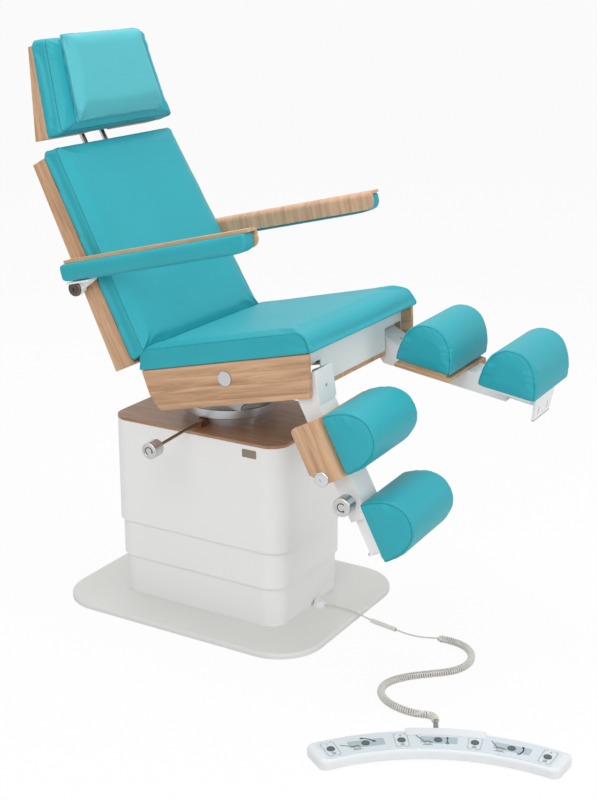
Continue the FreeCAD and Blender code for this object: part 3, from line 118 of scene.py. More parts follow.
# Nodes of a material or world: make() adds any node, its settings first and then its sockets
class Finish:
    def __init__(self, name, holders=bpy.data.materials):
        self.holder = holders.new(name)
        self.holder.use_nodes = True
        self.tree = self.holder.node_tree
        self.tree.nodes.clear()

    def make(self, kind, settings=None, sockets=None, output=0):
        node = self.tree.nodes.new("ShaderNode" + kind)
        for key, value in (settings or {}).items():
            if key == "ramp":
                fill_ramp(node.color_ramp, value)
            else:
                setattr(node, key, value)
        for key, value in (sockets or {}).items():
            if isinstance(value, Socket):
                self.tree.links.new(value.source, node.inputs[key])
            else:
                node.inputs[key].default_value = value
        return Socket(self, node.outputs[output]) if node.outputs else None

    def blend(self, factor, first, second):
        return self.make("Mix", {"data_type": "RGBA"}, {0: factor, 6: first, 7: second}, 2)

    def stretched(self, vector, shares):
        return self.make("VectorMath", {"operation": "MULTIPLY"}, {0: vector, 1: shares})

    def scaled(self, vector, share):
        return self.make("VectorMath", {"operation": "SCALE"}, {0: vector, "Scale": share})

    def mapped(self, rotation=(0.0, 0.0, 0.0), location=(0.0, 0.0, 0.0)):
        place = self.make("TexCoord", output="Object")
        return self.make("Mapping", {"vector_type": "TEXTURE"},
                         {"Vector": place, "Location": location, "Rotation": rotation})

    def noise(self, vector, scale, detail=2.0, roughness=0.5, distortion=0.0):
        return self.make("TexNoise", {}, {"Vector": vector, "Scale": scale, "Detail": detail,
                                          "Roughness": roughness, "Distortion": distortion})

    def bump(self, height, distance, strength, below=None):
        sockets = {"Height": height, "Distance": distance, "Strength": strength}
        if below:
            sockets["Normal"] = below
        return self.make("Bump", {}, sockets)

    def finish(self, sockets):
        shader = self.make("BsdfPrincipled", {}, sockets)
        self.make("OutputMaterial", {}, {"Surface": shader})
        return self.holder


def fill_ramp(ramp, stops):
    while len(ramp.elements) < len(stops):
        ramp.elements.new(1.0)
    for element, (position, colour) in zip(ramp.elements, stops):
        element.position = position
        element.color = colour


OAK_LIGHT = tint(217, 176, 138)
OAK_DARK = tint(172, 129, 95)


# Timber veneer whose grain runs along the board's own X axis, or along its Z axis
def timber(name, place, light=OAK_LIGHT, dark=OAK_DARK, along_z=False):
    finish = Finish(name)
    turn = place.to_euler()
    if along_z:
        turn = (place @ Matrix.Rotation(math.radians(-90.0), 4, "Y")).to_euler()
    board = finish.mapped(rotation=tuple(turn), location=tuple(place.to_translation()))
    long = finish.stretched(board, (1.1, 16.0, 16.0))
    sway = finish.noise(finish.stretched(board, (0.8, 3.5, 3.5)), scale=2.2)
    figure = finish.noise(long, scale=5.0, detail=6.0, roughness=0.6, distortion=0.35)
    pores = finish.noise(finish.stretched(board, (9.0, 260.0, 260.0)), scale=3.0, detail=3.0, roughness=0.7)
    streaks = finish.noise(finish.stretched(board, (2.2, 70.0, 70.0)), scale=3.0, detail=4.0, roughness=0.65)
    rings = finish.make("TexWave", {"wave_type": "BANDS", "bands_direction": "Z", "wave_profile": "SAW"},
                        {"Vector": long, "Scale": 0.55, "Distortion": 9.0, "Detail": 3.0,
                         "Detail Scale": 0.7}, 1)
    share = figure * 0.75 + rings * 0.16 + sway * 0.35 - 0.14
    body = finish.make("ValToRGB", {"ramp": ((0.3, dark), (0.62, light))}, {0: share})
    streak = streaks.above(0.56, 0.16)
    pore = pores.above(0.56, 0.1)
    darker = finish.scaled(body, 0.7)
    streaked = finish.blend(streak * 0.5, body, darker)
    colour = finish.blend(pore * 0.55, streaked, darker)
    return finish.finish({"Base Color": colour, "Roughness": 0.42 + pore * 0.14,
                          "Normal": finish.bump(1.0 - pore, 0.0002, 0.5), "Coat Weight": 0.06,
                          "Coat Roughness": 0.35})


FINE_RELIEF = 0.0001
SEAM_HALF = 0.0004
SEAM_FADE = 0.0011
SEAM_DEPTH = 0.0011
SHADE_HALF = 0.001
SHADE_FADE = 0.006


# Leatherette: pebbled grain, faint clouds and a fine seam where the attribute crosses zero, with painted
# shade in the seam's groove and beside it
def leatherette(name, colour, deep):
    finish = Finish(name)
    place = finish.mapped()
    seam = abs(finish.make("Attribute", {"attribute_name": "seam"}, output="Fac"))
    groove = 1.0 - seam.above(SEAM_HALF, SEAM_FADE)
    shade_beside_seam = 1.0 - seam.above(SHADE_HALF, SHADE_FADE)
    pebbles = finish.make("TexVoronoi", {"feature": "SMOOTH_F1"},
                          {"Vector": place, "Scale": 620.0, "Smoothness": 0.4, "Randomness": 0.9})
    creases = finish.noise(place, scale=240.0, detail=4.0, roughness=0.6)
    cloud = finish.noise(place, scale=6.0, detail=3.0)
    body = finish.make("ValToRGB", {"ramp": ((0.3, deep), (0.68, colour))}, {0: cloud * 0.35 + 0.42})
    # Painted shade: the colour darkens in a band beside the seam
    body_with_seam_shade = finish.blend(shade_beside_seam * 0.5, body, finish.scaled(body, 0.86))
    grain = finish.bump(pebbles * 0.5 + creases * 0.5, distance=0.00022, strength=0.45)
    normal = finish.bump(1.0 - groove, distance=SEAM_DEPTH, strength=0.9, below=grain)
    # Painted shade in the seam's groove: the colour there falls to 0.6 of the body
    return finish.finish({"Base Color": finish.blend(groove * 0.85, body_with_seam_shade, finish.scaled(body, 0.6)),
                          "Roughness": 0.44 + cloud * 0.12 + groove * 0.2, "Normal": normal,
                          "Sheen Weight": 0.03, "Sheen Roughness": 0.4, "Specular IOR Level": 0.4})


# Powder coat: faint orange peel and a slight drift in gloss
def powder_coat(name, colour, roughness=0.36):
    finish = Finish(name)
    place = finish.mapped()
    skin = finish.noise(place, scale=420.0)
    drift = finish.noise(place, scale=3.5, detail=3.0)
    return finish.finish({"Base Color": finish.scaled(colour[:3], 0.97 + drift * 0.05),
                          "Roughness": roughness - 0.05 + drift * 0.1,
                          "Normal": finish.bump(skin, distance=0.00012, strength=0.35)})


# Metal: brushed along an axis or turned round Z
def metal(name, colour, roughness, turned=False, strokes=(1.0, 1.0, 60.0), depth=0.25):
    finish = Finish(name)
    place = finish.mapped()
    if turned:
        along, across, height = [finish.make("SeparateXYZ", {}, {0: place}, axis) for axis in "XYZ"]
        radius = (along * along + across * across) ** 0.5
        rings = finish.make("CombineXYZ", {}, {"X": radius * 90.0, "Y": height * 90.0, "Z": 0.0})
        marks = finish.noise(rings, scale=12.0, detail=3.0, roughness=0.6)
    else:
        marks = finish.noise(finish.stretched(place, strokes), scale=22.0, detail=3.0, roughness=0.6)
    smudge = finish.noise(place, scale=14.0, detail=3.0)
    return finish.finish({"Base Color": finish.scaled(colour[:3], 0.94 + marks * 0.1), "Metallic": 1.0,
                          "Roughness": roughness - 0.04 + marks * 0.08 + smudge * 0.05,
                          "Normal": finish.bump(marks, FINE_RELIEF, depth)})


# Moulded plastic or rubber with a spark-eroded skin
def moulded(name, colour, roughness=0.45, depth=0.3):
    finish = Finish(name)
    place = finish.mapped()
    grain = finish.noise(place, scale=900.0)
    drift = finish.noise(place, scale=9.0, detail=3.0)
    return finish.finish({"Base Color": finish.scaled(colour[:3], 0.96 + drift * 0.07),
                          "Roughness": roughness - 0.05 + drift * 0.12,
                          "Normal": finish.bump(grain, FINE_RELIEF, depth)})


OAK = {"seat": timber("seat oak", SEAT),
       # The far arm's oak is painted lighter than the near arm's, to make up for the shade that falls on it
       "arm_far": timber("far arm oak painted lighter", ARM, tint(232, 184, 150), tint(202, 152, 118), along_z=True),
       "back": timber("back oak", BACK, along_z=True),
       "head": timber("head oak", HEAD, along_z=True),
       "arm_near": timber("arm oak", ARM, tint(222, 184, 146), tint(184, 142, 106)),
       "leg_near": timber("near leg oak", LEGS["near"] @ MIRROR),
       "leg_far": timber("far leg oak", LEGS["far"])}
BROWN_BOARD = timber("brown board", WORLD, tint(190, 149, 116), tint(148, 111, 84))
VINYL = leatherette("turquoise leatherette", tint(42, 169, 182), tint(34, 156, 170))
PALE_VINYL = leatherette("pillow leatherette", tint(88, 190, 200), tint(76, 181, 192))
ENAMEL = powder_coat("white enamel", tint(240, 240, 239))
# Painted shade: the base plate's enamel is a greyer copy of the white enamel, for the grey that the light
# gives the plate
BASE_ENAMEL = powder_coat("base enamel", tint(224, 225, 222), 0.42)
TURNED = metal("turned steel", tint(196, 198, 200), 0.27, turned=True)
CHROME = metal("chrome", tint(214, 216, 219), 0.13, depth=0.05)
DARK_CHROME = metal("dark chrome", tint(112, 103, 96), 0.2, depth=0.05)
BRUSHED = metal("brushed steel", tint(188, 190, 193), 0.32)
BRONZE = metal("dull bronze", tint(160, 120, 92), 0.42)
PLATE = metal("badge plate", tint(150, 138, 122), 0.4, strokes=(60.0, 1.0, 1.0))
BLACK_STEEL = powder_coat("black steel", tint(38, 39, 41), 0.5)
DARK_PLASTIC = moulded("dark plastic", tint(58, 60, 64))
KNOB_METAL = metal("knob aluminium", tint(206, 206, 205), 0.3)
ROD_STEEL = metal("rod steel", tint(150, 128, 112), 0.34)
HOUSING = moulded("white housing", tint(228, 231, 233), 0.36, depth=0.12)
FILM = moulded("key film", tint(214, 223, 229), 0.3, depth=0.05)
FILM_PANEL = moulded("key panel", tint(172, 189, 196), 0.32, depth=0.05)
INK = moulded("print", tint(78, 76, 68), 0.5, depth=0.05)
LEAD_SKIN = moulded("lead plastic", tint(216, 213, 207), 0.42, depth=0.15)
SLEEVE_SKIN = moulded("sleeve plastic", tint(224, 222, 218), 0.4)
RELIEF_SKIN = moulded("relief plastic", tint(128, 134, 130), 0.5)
KEY_RUBBER = moulded("key rubber", tint(84, 94, 90), 0.55)
PALE_INK = moulded("pale print", tint(158, 160, 158), 0.5, depth=0.05)
RUBBER = moulded("rubber", tint(48, 48, 50), 0.7)


# Objects from bmesh forms
def placed(name, data):
    holder = bpy.data.objects.new(name, data)
    bpy.context.scene.collection.objects.link(holder)
    return holder


def as_mesh(form, name):
    mesh = bpy.data.meshes.new(name)
    form.to_mesh(mesh)
    form.free()
    return mesh


def whole(form):
    return form.verts[:] + form.edges[:] + form.faces[:]


def add_piece(name, mesh, body, material, replaced=()):
    piece = placed(name, mesh)
    mesh.materials.clear()
    mesh.materials.append(material)
    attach(piece, body)
    if replaced:
        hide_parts(*replaced)
    return piece


def soften_shading(mesh):
    mesh.shade_smooth()
    mesh.set_sharp_from_angle(angle=SHARP_ANGLE)


def trim(name, form, place, body, material):
    bmesh.ops.transform(form, matrix=place, verts=form.verts)
    bmesh.ops.recalc_face_normals(form, faces=form.faces)
    mesh = as_mesh(form, name)
    soften_shading(mesh)
    add_piece(name, mesh, body, material)


def add_block(form, size, middle, turn=0.0):
    made = bmesh.ops.create_cube(form, size=1.0)
    bmesh.ops.scale(form, vec=size, verts=made["verts"])
    if turn:
        bmesh.ops.rotate(form, matrix=Matrix.Rotation(turn, 3, "Z"), verts=made["verts"])
    bmesh.ops.translate(form, vec=middle, verts=made["verts"])


def block(low, high):
    form = bmesh.new()
    add_block(form, [top - base for base, top in zip(low, high)],
              [(base + top) / 2.0 for base, top in zip(low, high)])
    return form


def bevel_edges(form, edges, radius, segments):
    bmesh.ops.bevel(form, geom=edges, offset=radius, offset_type="OFFSET", segments=segments,
                    profile=0.5, affect="EDGES", material=-1, clamp_overlap=True)


def round_along(form, axis, test, radius, segments):
    found = []
    for edge in form.edges:
        run = edge.verts[1].co - edge.verts[0].co
        if run.length > 0 and abs(run[axis]) / run.length > 0.9:
            if test((edge.verts[0].co + edge.verts[1].co) / 2.0):
                found.append(edge)
    bevel_edges(form, found, radius, segments)


def edges_at(form, axis, level):
    return [edge for edge in form.edges if all(abs(v.co[axis] - level) < 1e-5 for v in edge.verts)]


def extrude(form, faces, shift):
    grown = bmesh.ops.extrude_face_region(form, geom=faces)
    moved = [item for item in grown["geom"] if isinstance(item, bmesh.types.BMVert)]
    bmesh.ops.translate(form, vec=shift, verts=moved)


def lies_on(edge, spot, axis):
    return all((vert.co - spot).cross(axis).length < 2e-4 for vert in edge.verts)


# Board corners that are rounded in side view: place, corner and radius
ROUNDED = {
    **{f"arm_shell_{side}": ((ARMS[side], (0.572, 0.292, 0.028), 0.024),
                             (ARMS[side], (0.572, 0.292, 0.077), 0.007)) for side in SIDES},
    **{f"leg_shell_{side}": ((LEGS[side], (0.060, 0.0, -0.0659), 0.014),) for side in SIDES},
}


WELD_REACH = 2e-6
FLAT_ANGLE = math.radians(0.6)
BEVEL_ANGLE = math.radians(38.0)


# Softened copies of the rigid solids, so that their edges catch the light
def softened(node, material, body, width):
    form = bmesh.new()
    form.from_mesh(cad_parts[node].data)
    bmesh.ops.remove_doubles(form, verts=form.verts, dist=WELD_REACH)
    bmesh.ops.dissolve_limit(form, angle_limit=FLAT_ANGLE, verts=form.verts, edges=form.edges)
    for place, corner, radius in ROUNDED.get(node, ()):
        spot = place @ Vector(corner)
        axis = (place.to_3x3() @ OUTWARD).normalized()
        bevel_edges(form, [edge for edge in form.edges if lies_on(edge, spot, axis)], radius, 6)
    sharp = [edge for edge in form.edges if len(edge.link_faces) == 2
             and edge.calc_face_angle() > BEVEL_ANGLE]
    bmesh.ops.bevel(form, geom=sharp, offset=width, offset_type="OFFSET", segments=2, profile=0.5,
                    affect="EDGES", material=-1, clamp_overlap=True, loop_slide=True)
    mesh = as_mesh(form, node + "_finished")
    soften_shading(mesh)
    piece = add_piece(node + "_finished", mesh, body, material, replaced=(node,))
    flatter = piece.modifiers.new("flat faces", "WEIGHTED_NORMAL")
    flatter.keep_sharp = True


# Soft pads: a shaped block, remeshed and swollen by cloth pressure from a pinned base
def remeshed(mesh, voxel):
    holder = placed("remesh", mesh)
    shrink = holder.modifiers.new("voxels", "REMESH")
    shrink.mode = "VOXEL"
    shrink.voxel_size = voxel
    result = evaluated(holder)
    bpy.data.objects.remove(holder)
    return result


def evaluated(holder):
    depsgraph = bpy.context.evaluated_depsgraph_get()
    return bpy.data.meshes.new_from_object(holder.evaluated_get(depsgraph))


# Fabric values of the stuffing, by setting
FABRIC = {"quality": 4, "mass": 0.3, "tension_stiffness": 12.0, "compression_stiffness": 12.0,
          "shear_stiffness": 6.0, "bending_stiffness": 0.8, "use_pressure": True,
          "uniform_pressure_force": 4.0, "vertex_group_mass": "base"}


def swollen(mesh, pinned, cap):
    holder = placed("swell", mesh)
    held = holder.vertex_groups.new(name="base")
    held.add([point.index for point in mesh.vertices if pinned(point.co)], 1.0, "REPLACE")
    cloth = holder.modifiers.new("stuffing", "CLOTH")
    for key, value in FABRIC.items():
        setattr(cloth.settings, key, value)
    cloth.settings.effector_weights.gravity = 0.0
    cloth.point_cache.frame_start = 1
    cloth.point_cache.frame_end = CLOTH_FRAMES
    scene = bpy.context.scene
    for number in range(1, CLOTH_FRAMES + 1):
        scene.frame_set(number)
    result = evaluated(holder)
    for before, after in zip(mesh.vertices, result.vertices):
        move = after.co - before.co
        if move.length > cap:
            after.co = before.co + move * (cap / move.length)
    bpy.data.objects.remove(holder)
    scene.frame_set(1)
    return result


def mark_seams(mesh, seam):
    layer = mesh.attributes.new("seam", "FLOAT", "POINT")
    for point, entry in zip(mesh.vertices, layer.data):
        entry.value = seam(point.co)


SEAM_SINK = 0.0014
SEAM_REACH = 0.004
PUCKER = 0.0007
PUCKER_REACH = 3.5 * SEAM_REACH
PUCKER_SCALE = 55.0


# Sinks the surface along its seams and lifts soft puckers beside them
def draw_in(mesh, pucker):
    layer = mesh.attributes["seam"]
    moves = []
    for point, entry in zip(mesh.vertices, layer.data):
        away = abs(entry.value)
        sink = SEAM_SINK * math.exp(-(away / SEAM_REACH) ** 2)
        ripple = noise.noise(point.co * PUCKER_SCALE) * pucker * math.exp(-(away / PUCKER_REACH) ** 2)
        moves.append(point.normal * (ripple - sink))
    for point, move in zip(mesh.vertices, moves):
        point.co += move


# Full sizes of the pads in their own places: low corner and high corner
FULL_SIZES = {
    "seat_cushion_form": ((-0.006, -0.29, 0.0003), (0.5265, 0.29, 0.0655)),
    "back_cushion_form": ((0.0003, -0.2925, 0.0), (0.058, 0.2925, 0.592)),
    "head_cushion_form": ((0.0003, -0.252, -0.002), (0.0555, 0.252, 0.2535)),
    "pillow_form": ((0.0531, -0.186, 0.0215), (0.0855, 0.186, 0.2545)),
    "calf_form": ((0.058, -0.175, 0.0253), (0.215, 0.093, 0.1405)),
    "arm_form": ((-0.02, 0.3003, 0.02), (0.5655, 0.349, 0.0687)),
}


# Stretches a swollen form back to its full size, since stuffing draws the sides in
def fitted(mesh, box):
    for axis in range(3):
        places = [point.co[axis] for point in mesh.vertices]
        least, most = min(places), max(places)
        low, high = box[0][axis], box[1][axis]
        for point in mesh.vertices:
            point.co[axis] = low + (point.co[axis] - least) * (high - low) / (most - least)


# The test says which points stay pinned, and the cap is how far the others may move
def soft_form(form, name, voxel, pinned, cap, seam, pucker=PUCKER):
    mesh = swollen(remeshed(as_mesh(form, name), voxel), pinned, cap)
    fitted(mesh, FULL_SIZES[name])
    mark_seams(mesh, seam)
    draw_in(mesh, pucker)
    mesh.shade_smooth()
    return mesh


# Evens out the folds of a swollen form where the test holds
def relaxed(mesh, rounds, test):
    form = bmesh.new()
    form.from_mesh(mesh)
    loose = [point for point in form.verts if test(point.co)]
    for _ in range(rounds):
        bmesh.ops.smooth_vert(form, verts=loose, factor=0.5, use_axis_x=True, use_axis_y=True,
                              use_axis_z=True)
    form.to_mesh(mesh)
    form.free()


def soft_piece(name, mesh, place, body, node, material=VINYL):
    skin = mesh.copy()
    skin.transform(place)
    if place.determinant() < 0:
        skin.flip_normals()
    piece = add_piece(name, skin, body, material, (node,))
    smooth = piece.modifiers.new("smooth", "SUBSURF")
    smooth.levels = 1
    smooth.render_levels = 1


# Depth of a point inside a rounded rectangle, positive inside
def inside_rectangle(across, up, half_across, half_up, corner):
    reach = Vector((abs(across) - half_across + corner, abs(up) - half_up + corner))
    outer = Vector((max(reach.x, 0.0), max(reach.y, 0.0))).length
    return corner - outer - min(max(reach.x, reach.y), 0.0)


# Seat cushion: top panel that runs over the front edge, with side gussets
SEAT_SIZE = Vector((0.5155, 0.2815, 0.056))
SEAT_BACK = 0.005
SEAT_NOSE = 0.042
SEAT_HEEL = 0.026
SIDE_EDGE = 0.006
PAD_FOOT = 0.0006


def seat_seam(spot):
    side = SEAT_SIZE.y + 0.004 - abs(spot.y)
    profile = inside_rectangle(spot.x, spot.z, SEAT_SIZE.x + 0.002, SEAT_SIZE.z + 0.005, SEAT_NOSE)
    return side - profile + 0.003


def make_seat_cushion():
    form = block((SEAT_BACK, -SEAT_SIZE.y, PAD_FOOT), (SEAT_SIZE.x - 0.003, SEAT_SIZE.y, SEAT_SIZE.z))
    top = SEAT_SIZE.z / 2.0
    middle = SEAT_SIZE.x / 2.0
    round_along(form, 1, lambda p: p.z > top and p.x > middle, SEAT_NOSE * 0.8, 6)
    round_along(form, 1, lambda p: p.z > top and p.x < middle, SEAT_HEEL, 5)
    round_along(form, 0, lambda p: p.z > top, SIDE_EDGE, 3)
    mesh = soft_form(form, "seat_cushion_form", VOXEL, lambda p: p.z < 0.008, cap=0.0075, seam=seat_seam)
    soft_piece("seat_upholstery", mesh, SEAT, "seat", "seat_cushion")


# Upright cushions of back and head rest: a front panel with gussets round three sides
SEAM_MARGIN = 0.004


def tapered_block(low, high, half_low, half_high, front, back):
    form = block((back, -half_low, low), (front, half_low, high))
    for point in form.verts:
        if point.co.z > (low + high) / 2.0:
            point.co.y *= half_high / half_low
    return form


def upright_block(low, high, half_low, half_high, front, corner):
    form = tapered_block(low, high, half_low, half_high, front, PAD_FOOT)
    height = (low + high) / 2.0
    round_along(form, 0, lambda p: p.z > height, corner, 5)
    round_along(form, 0, lambda p: p.z < height, corner * 0.6, 4)
    bevel_edges(form, edges_at(form, 0, front), SIDE_EDGE, 3)
    return form


def upright_seam(low, high, half_low, half_high, front, corner):
    def seam(spot):
        share = (spot.z - low) / (high - low)
        half = half_low + (half_high - half_low) * share
        depth = inside_rectangle(spot.y, spot.z - (low + high) / 2.0, half, (high - low) / 2.0, corner)
        return depth - (front - spot.x)
    return seam


def widened(low, high, half_low, half_high):
    return low - SEAM_MARGIN, high + SEAM_MARGIN, half_low + SEAM_MARGIN, half_high + SEAM_MARGIN


def make_back_cushion():
    outline = (0.004, 0.587, 0.2865, 0.2585)
    form = upright_block(*outline, front=0.044, corner=0.02)
    seam = upright_seam(*widened(*outline), front=0.05, corner=0.024)
    mesh = soft_form(form, "back_cushion_form", VOXEL, lambda p: p.x < 0.007, cap=0.008, seam=seam)
    soft_piece("back_upholstery", mesh, BACK, "back", "back_cushion")


def make_head_cushion():
    outline = (0.004, 0.2485, 0.2425, 0.2105)
    form = upright_block(*outline, front=0.0425, corner=0.018)
    seam = upright_seam(*widened(*outline), front=0.0475, corner=0.022)
    mesh = soft_form(form, "head_cushion_form", FINE_VOXEL, lambda p: p.x < 0.006, cap=0.006, seam=seam)
    soft_piece("head_upholstery", mesh, HEAD, "head", "head_cushion")


# Pillow: boxy sides, a soft front and a lower edge that rolls back under it
PILLOW_BACK = 0.0545
PILLOW_FRONT = 0.0875
PILLOW_ROLL = 0.03
PILLOW_CORNER = 0.012
PILLOW_PUCKER = 0.0012
RELAX_ROUNDS = 14
RELAX_FROM = 0.068


def make_pillow():
    low, high, half_low, half_high = 0.034, 0.2495, 0.1835, 0.161
    form = tapered_block(low, high, half_low, half_high, PILLOW_FRONT, PILLOW_BACK)
    middle = (PILLOW_FRONT + PILLOW_BACK) / 2.0
    height = (low + high) / 2.0
    round_along(form, 1, lambda p: p.x > middle and p.z < height, PILLOW_ROLL, 6)
    round_along(form, 0, lambda p: True, PILLOW_CORNER, 4)
    rim = [edge for edge in form.edges if all(v.co.x > PILLOW_FRONT - 0.001 for v in edge.verts)
           and max(v.co.z for v in edge.verts) > low + PILLOW_ROLL + 0.01]
    bevel_edges(form, [edge for edge in rim if edge.calc_face_angle(0.0) > 0.5], 0.005, 3)
    seam = upright_seam(low - 0.012, high + SEAM_MARGIN, half_low + SEAM_MARGIN, half_high + SEAM_MARGIN,
                        front=0.062, corner=0.016)
    mesh = soft_form(form, "pillow_form", FINE_VOXEL, lambda p: p.x < 0.0575, cap=0.007,
                     seam=seam, pucker=PILLOW_PUCKER)
    relaxed(mesh, RELAX_ROUNDS, lambda p: p.x > RELAX_FROM)
    soft_piece("pillow_upholstery", mesh, HEAD, "head", "head_pillow", PALE_VINYL)


# Calf pads: a tall arch with slightly domed ends
PAD_BASE = 0.0256
PAD_TALL = 0.1095
PAD_REACH = 0.0725
PAD_INNER = -0.1705
PAD_OUTER = 0.0885
PAD_MARGIN = 0.003
MEAN_REACH = 0.09
ARCH_POWER = 2.25
PAD_MIDDLES = {"upper": 0.1365, "lower": 0.3685}


def pad_depth(spot, middle):
    share = abs(spot.x - middle) / (PAD_REACH + PAD_MARGIN)
    lift = max(spot.z - PAD_BASE, 0.0) / (PAD_TALL + PAD_MARGIN)
    radius = (share ** ARCH_POWER + lift ** ARCH_POWER) ** (1.0 / ARCH_POWER)
    return (1.0 - radius) * MEAN_REACH


def calf_seam(middle):
    def seam(spot):
        ends = min(spot.y - PAD_INNER + PAD_MARGIN, PAD_OUTER + PAD_MARGIN - spot.y)
        return ends - pad_depth(spot, middle) - 0.0035
    return seam


def calf_form(middle):
    form = bmesh.new()
    made = bmesh.ops.create_circle(form, cap_ends=True, radius=1.0, segments=48)
    turn = Matrix.Rotation(math.radians(90.0), 4, "X")
    bmesh.ops.transform(form, matrix=turn, verts=made["verts"])
    for point in form.verts:
        lift = max(abs(point.co.z), TINY)
        share = max(abs(point.co.x), TINY)
        swell = 1.0 / (share ** ARCH_POWER + lift ** ARCH_POWER) ** (1.0 / ARCH_POWER)
        point.co *= swell
    bmesh.ops.bisect_plane(form, geom=whole(form), dist=1e-6, plane_co=(0.0, 0.0, 0.0),
                           plane_no=(0.0, 0.0, -1.0), clear_outer=True)
    bmesh.ops.scale(form, vec=(PAD_REACH, 1.0, PAD_TALL), verts=form.verts)
    bmesh.ops.translate(form, vec=(middle, PAD_INNER, PAD_BASE), verts=form.verts)
    bmesh.ops.edgeloop_fill(form, edges=[edge for edge in form.edges if edge.is_boundary])
    extrude(form, form.faces[:], (0.0, PAD_OUTER - PAD_INNER, 0.0))
    bmesh.ops.remove_doubles(form, verts=form.verts, dist=1e-6)
    bmesh.ops.recalc_face_normals(form, faces=form.faces)
    return form


def make_calf_pads():
    middle = PAD_MIDDLES["upper"]
    mesh = soft_form(calf_form(middle), "calf_form", FINE_VOXEL, lambda p: p.z < PAD_BASE + 0.004,
                     cap=0.0055, seam=calf_seam(middle))
    for side in SIDES:
        for level, body in (("upper", f"leg_{side}"), ("lower", f"calf_slide_{side}")):
            shift = Matrix.Translation((PAD_MIDDLES[level] - middle, 0.0, 0.0))
            soft_piece(f"calf_upholstery_{level}_{side}", mesh, LEGS[side] @ shift, body,
                       f"leg_pad_{level}_{side}")


# Arm pads: a long roll with a rounded nose, and a seam at the edge that the shell hides
ARM_LOW = (-0.017, 0.3012, 0.0225)
ARM_HIGH = (0.5685, 0.3455, 0.0672)
ARM_NOSE = 0.024
ARM_EDGE = 0.012
ARM_LEDGE = 0.0007
ARM_SEAM = 0.2995


def make_arm_pads():
    form = block(ARM_LOW, ARM_HIGH)
    middle, _, height = [(low + high) / 2.0 for low, high in zip(ARM_LOW, ARM_HIGH)]
    round_along(form, 1, lambda p: p.x > middle and p.z < height, ARM_NOSE, 6)
    round_along(form, 1, lambda p: p.x < 0.0, ARM_EDGE, 4)
    outer = [edge for edge in edges_at(form, 1, ARM_HIGH[1])
             if (edge.verts[0].co + edge.verts[1].co).z / 2.0 < ARM_HIGH[2] - ARM_LEDGE]
    bevel_edges(form, outer, ARM_EDGE, 5)
    mesh = soft_form(form, "arm_form", FINE_VOXEL, lambda p: p.y < 0.3035 or p.z > 0.0655,
                     cap=0.0035, seam=lambda spot: spot.y - ARM_SEAM)
    for side in SIDES:
        soft_piece(f"arm_upholstery_{side}", mesh, ARMS[side], f"arm_{side}", f"arm_pad_{side}")


# Lead: wire from the gland, then close curls as far as the strain relief
LEAD_ROUTE = ((0.303, 0.015, 0.024), (0.330, 0.016, 0.0246), (0.362, 0.018, 0.0228),
              (0.392, 0.020, 0.0205), (0.418, 0.020, 0.0125), (0.445, 0.016, 0.0084),
              (0.486, 0.010, 0.007), (0.530, 0.004, 0.0062), (0.562, 0.0015, 0.0034),
              (0.604, 0.0044, 0.0038), (0.645, 0.010, 0.0104))
COIL_ROUTE = ((0.690, 0.0161), (0.735, 0.004), (0.768, -0.032), (0.779, -0.082), (0.762, -0.134),
              (0.712, -0.180), (0.668, -0.222), (0.639, -0.272), (0.646, -0.325), (0.685, -0.360),
              (0.735, -0.374), (0.779, -0.372), (0.815, -0.356), (0.8304, -0.3871))
COIL_LEVEL = 0.0101
WIRE_RADIUS = 0.0022
CURL_RADIUS = 0.0076
CURL_COUNT = 114
CURL_STEPS = 14
CURL_RAMP = 1.7
CURL_AHEAD = 4
STRAIGHT_STEPS = 120


def curve_object(name, kind, points):
    curve = bpy.data.curves.new(name, "CURVE")
    curve.dimensions = "3D"
    spline = curve.splines.new(kind)
    spline.points.add(len(points) - 1)
    for control, point in zip(spline.points, points):
        control.co = (*point, 1.0)
    return placed(name, curve)


def route_points(points):
    holder = curve_object("lead_route", "NURBS", points)
    holder.data.resolution_u = 24
    holder.data.splines[0].order_u = 3
    holder.data.splines[0].use_endpoint_u = True
    mesh = evaluated(holder)
    found = [point.co.copy() for point in mesh.vertices]
    bpy.data.objects.remove(holder)
    return found


def spread_evenly(points, count):
    marks = [0.0]
    for before, after in zip(points, points[1:]):
        marks.append(marks[-1] + (after - before).length)
    spots = []
    index = 0
    for number in range(count):
        goal = marks[-1] * number / (count - 1)
        while index < len(points) - 2 and marks[index + 1] < goal:
            index += 1
        stretch = marks[index + 1] - marks[index]
        spots.append(points[index].lerp(points[index + 1], (goal - marks[index]) / stretch))
    return spots


def curled(points):
    axis = spread_evenly(points, CURL_COUNT * CURL_STEPS)
    wire = []
    for number, spot in enumerate(axis):
        ahead = axis[min(number + CURL_AHEAD, len(axis) - 1)] - axis[max(number - CURL_AHEAD, 0)]
        shade_beside_seam = UP.cross(ahead).normalized()
        turns = number / CURL_STEPS
        left = CURL_COUNT - turns
        ramp = min(turns / CURL_RAMP, left / CURL_RAMP, 1.0)
        angle = math.tau * turns - math.pi / 2.0
        reach = CURL_RADIUS * ramp * ramp * (3.0 - 2.0 * ramp)
        wire.append(spot + (shade_beside_seam * math.cos(angle) + UP * math.sin(angle)) * reach)
    return wire


def make_lead():
    path = route_points(list(LEAD_ROUTE) + [(x, y, COIL_LEVEL) for x, y in COIL_ROUTE])
    start = Vector(LEAD_ROUTE[-1])
    split = min(range(len(path)), key=lambda index: (path[index] - start).length)
    wire = spread_evenly(path[:split + 1], STRAIGHT_STEPS)[:-1] + curled(path[split:])
    lead = curve_object("lead", "POLY", wire)
    lead.data.bevel_depth = WIRE_RADIUS
    lead.data.bevel_resolution = 2
    lead.data.resolution_u = 1
    lead.data.use_fill_caps = True
    lead.data.materials.append(LEAD_SKIN)
    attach(lead, "base")
    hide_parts("lead_straight", "lead_coil")
    length = sum((after - before).length for before, after in zip(wire, wire[1:]))


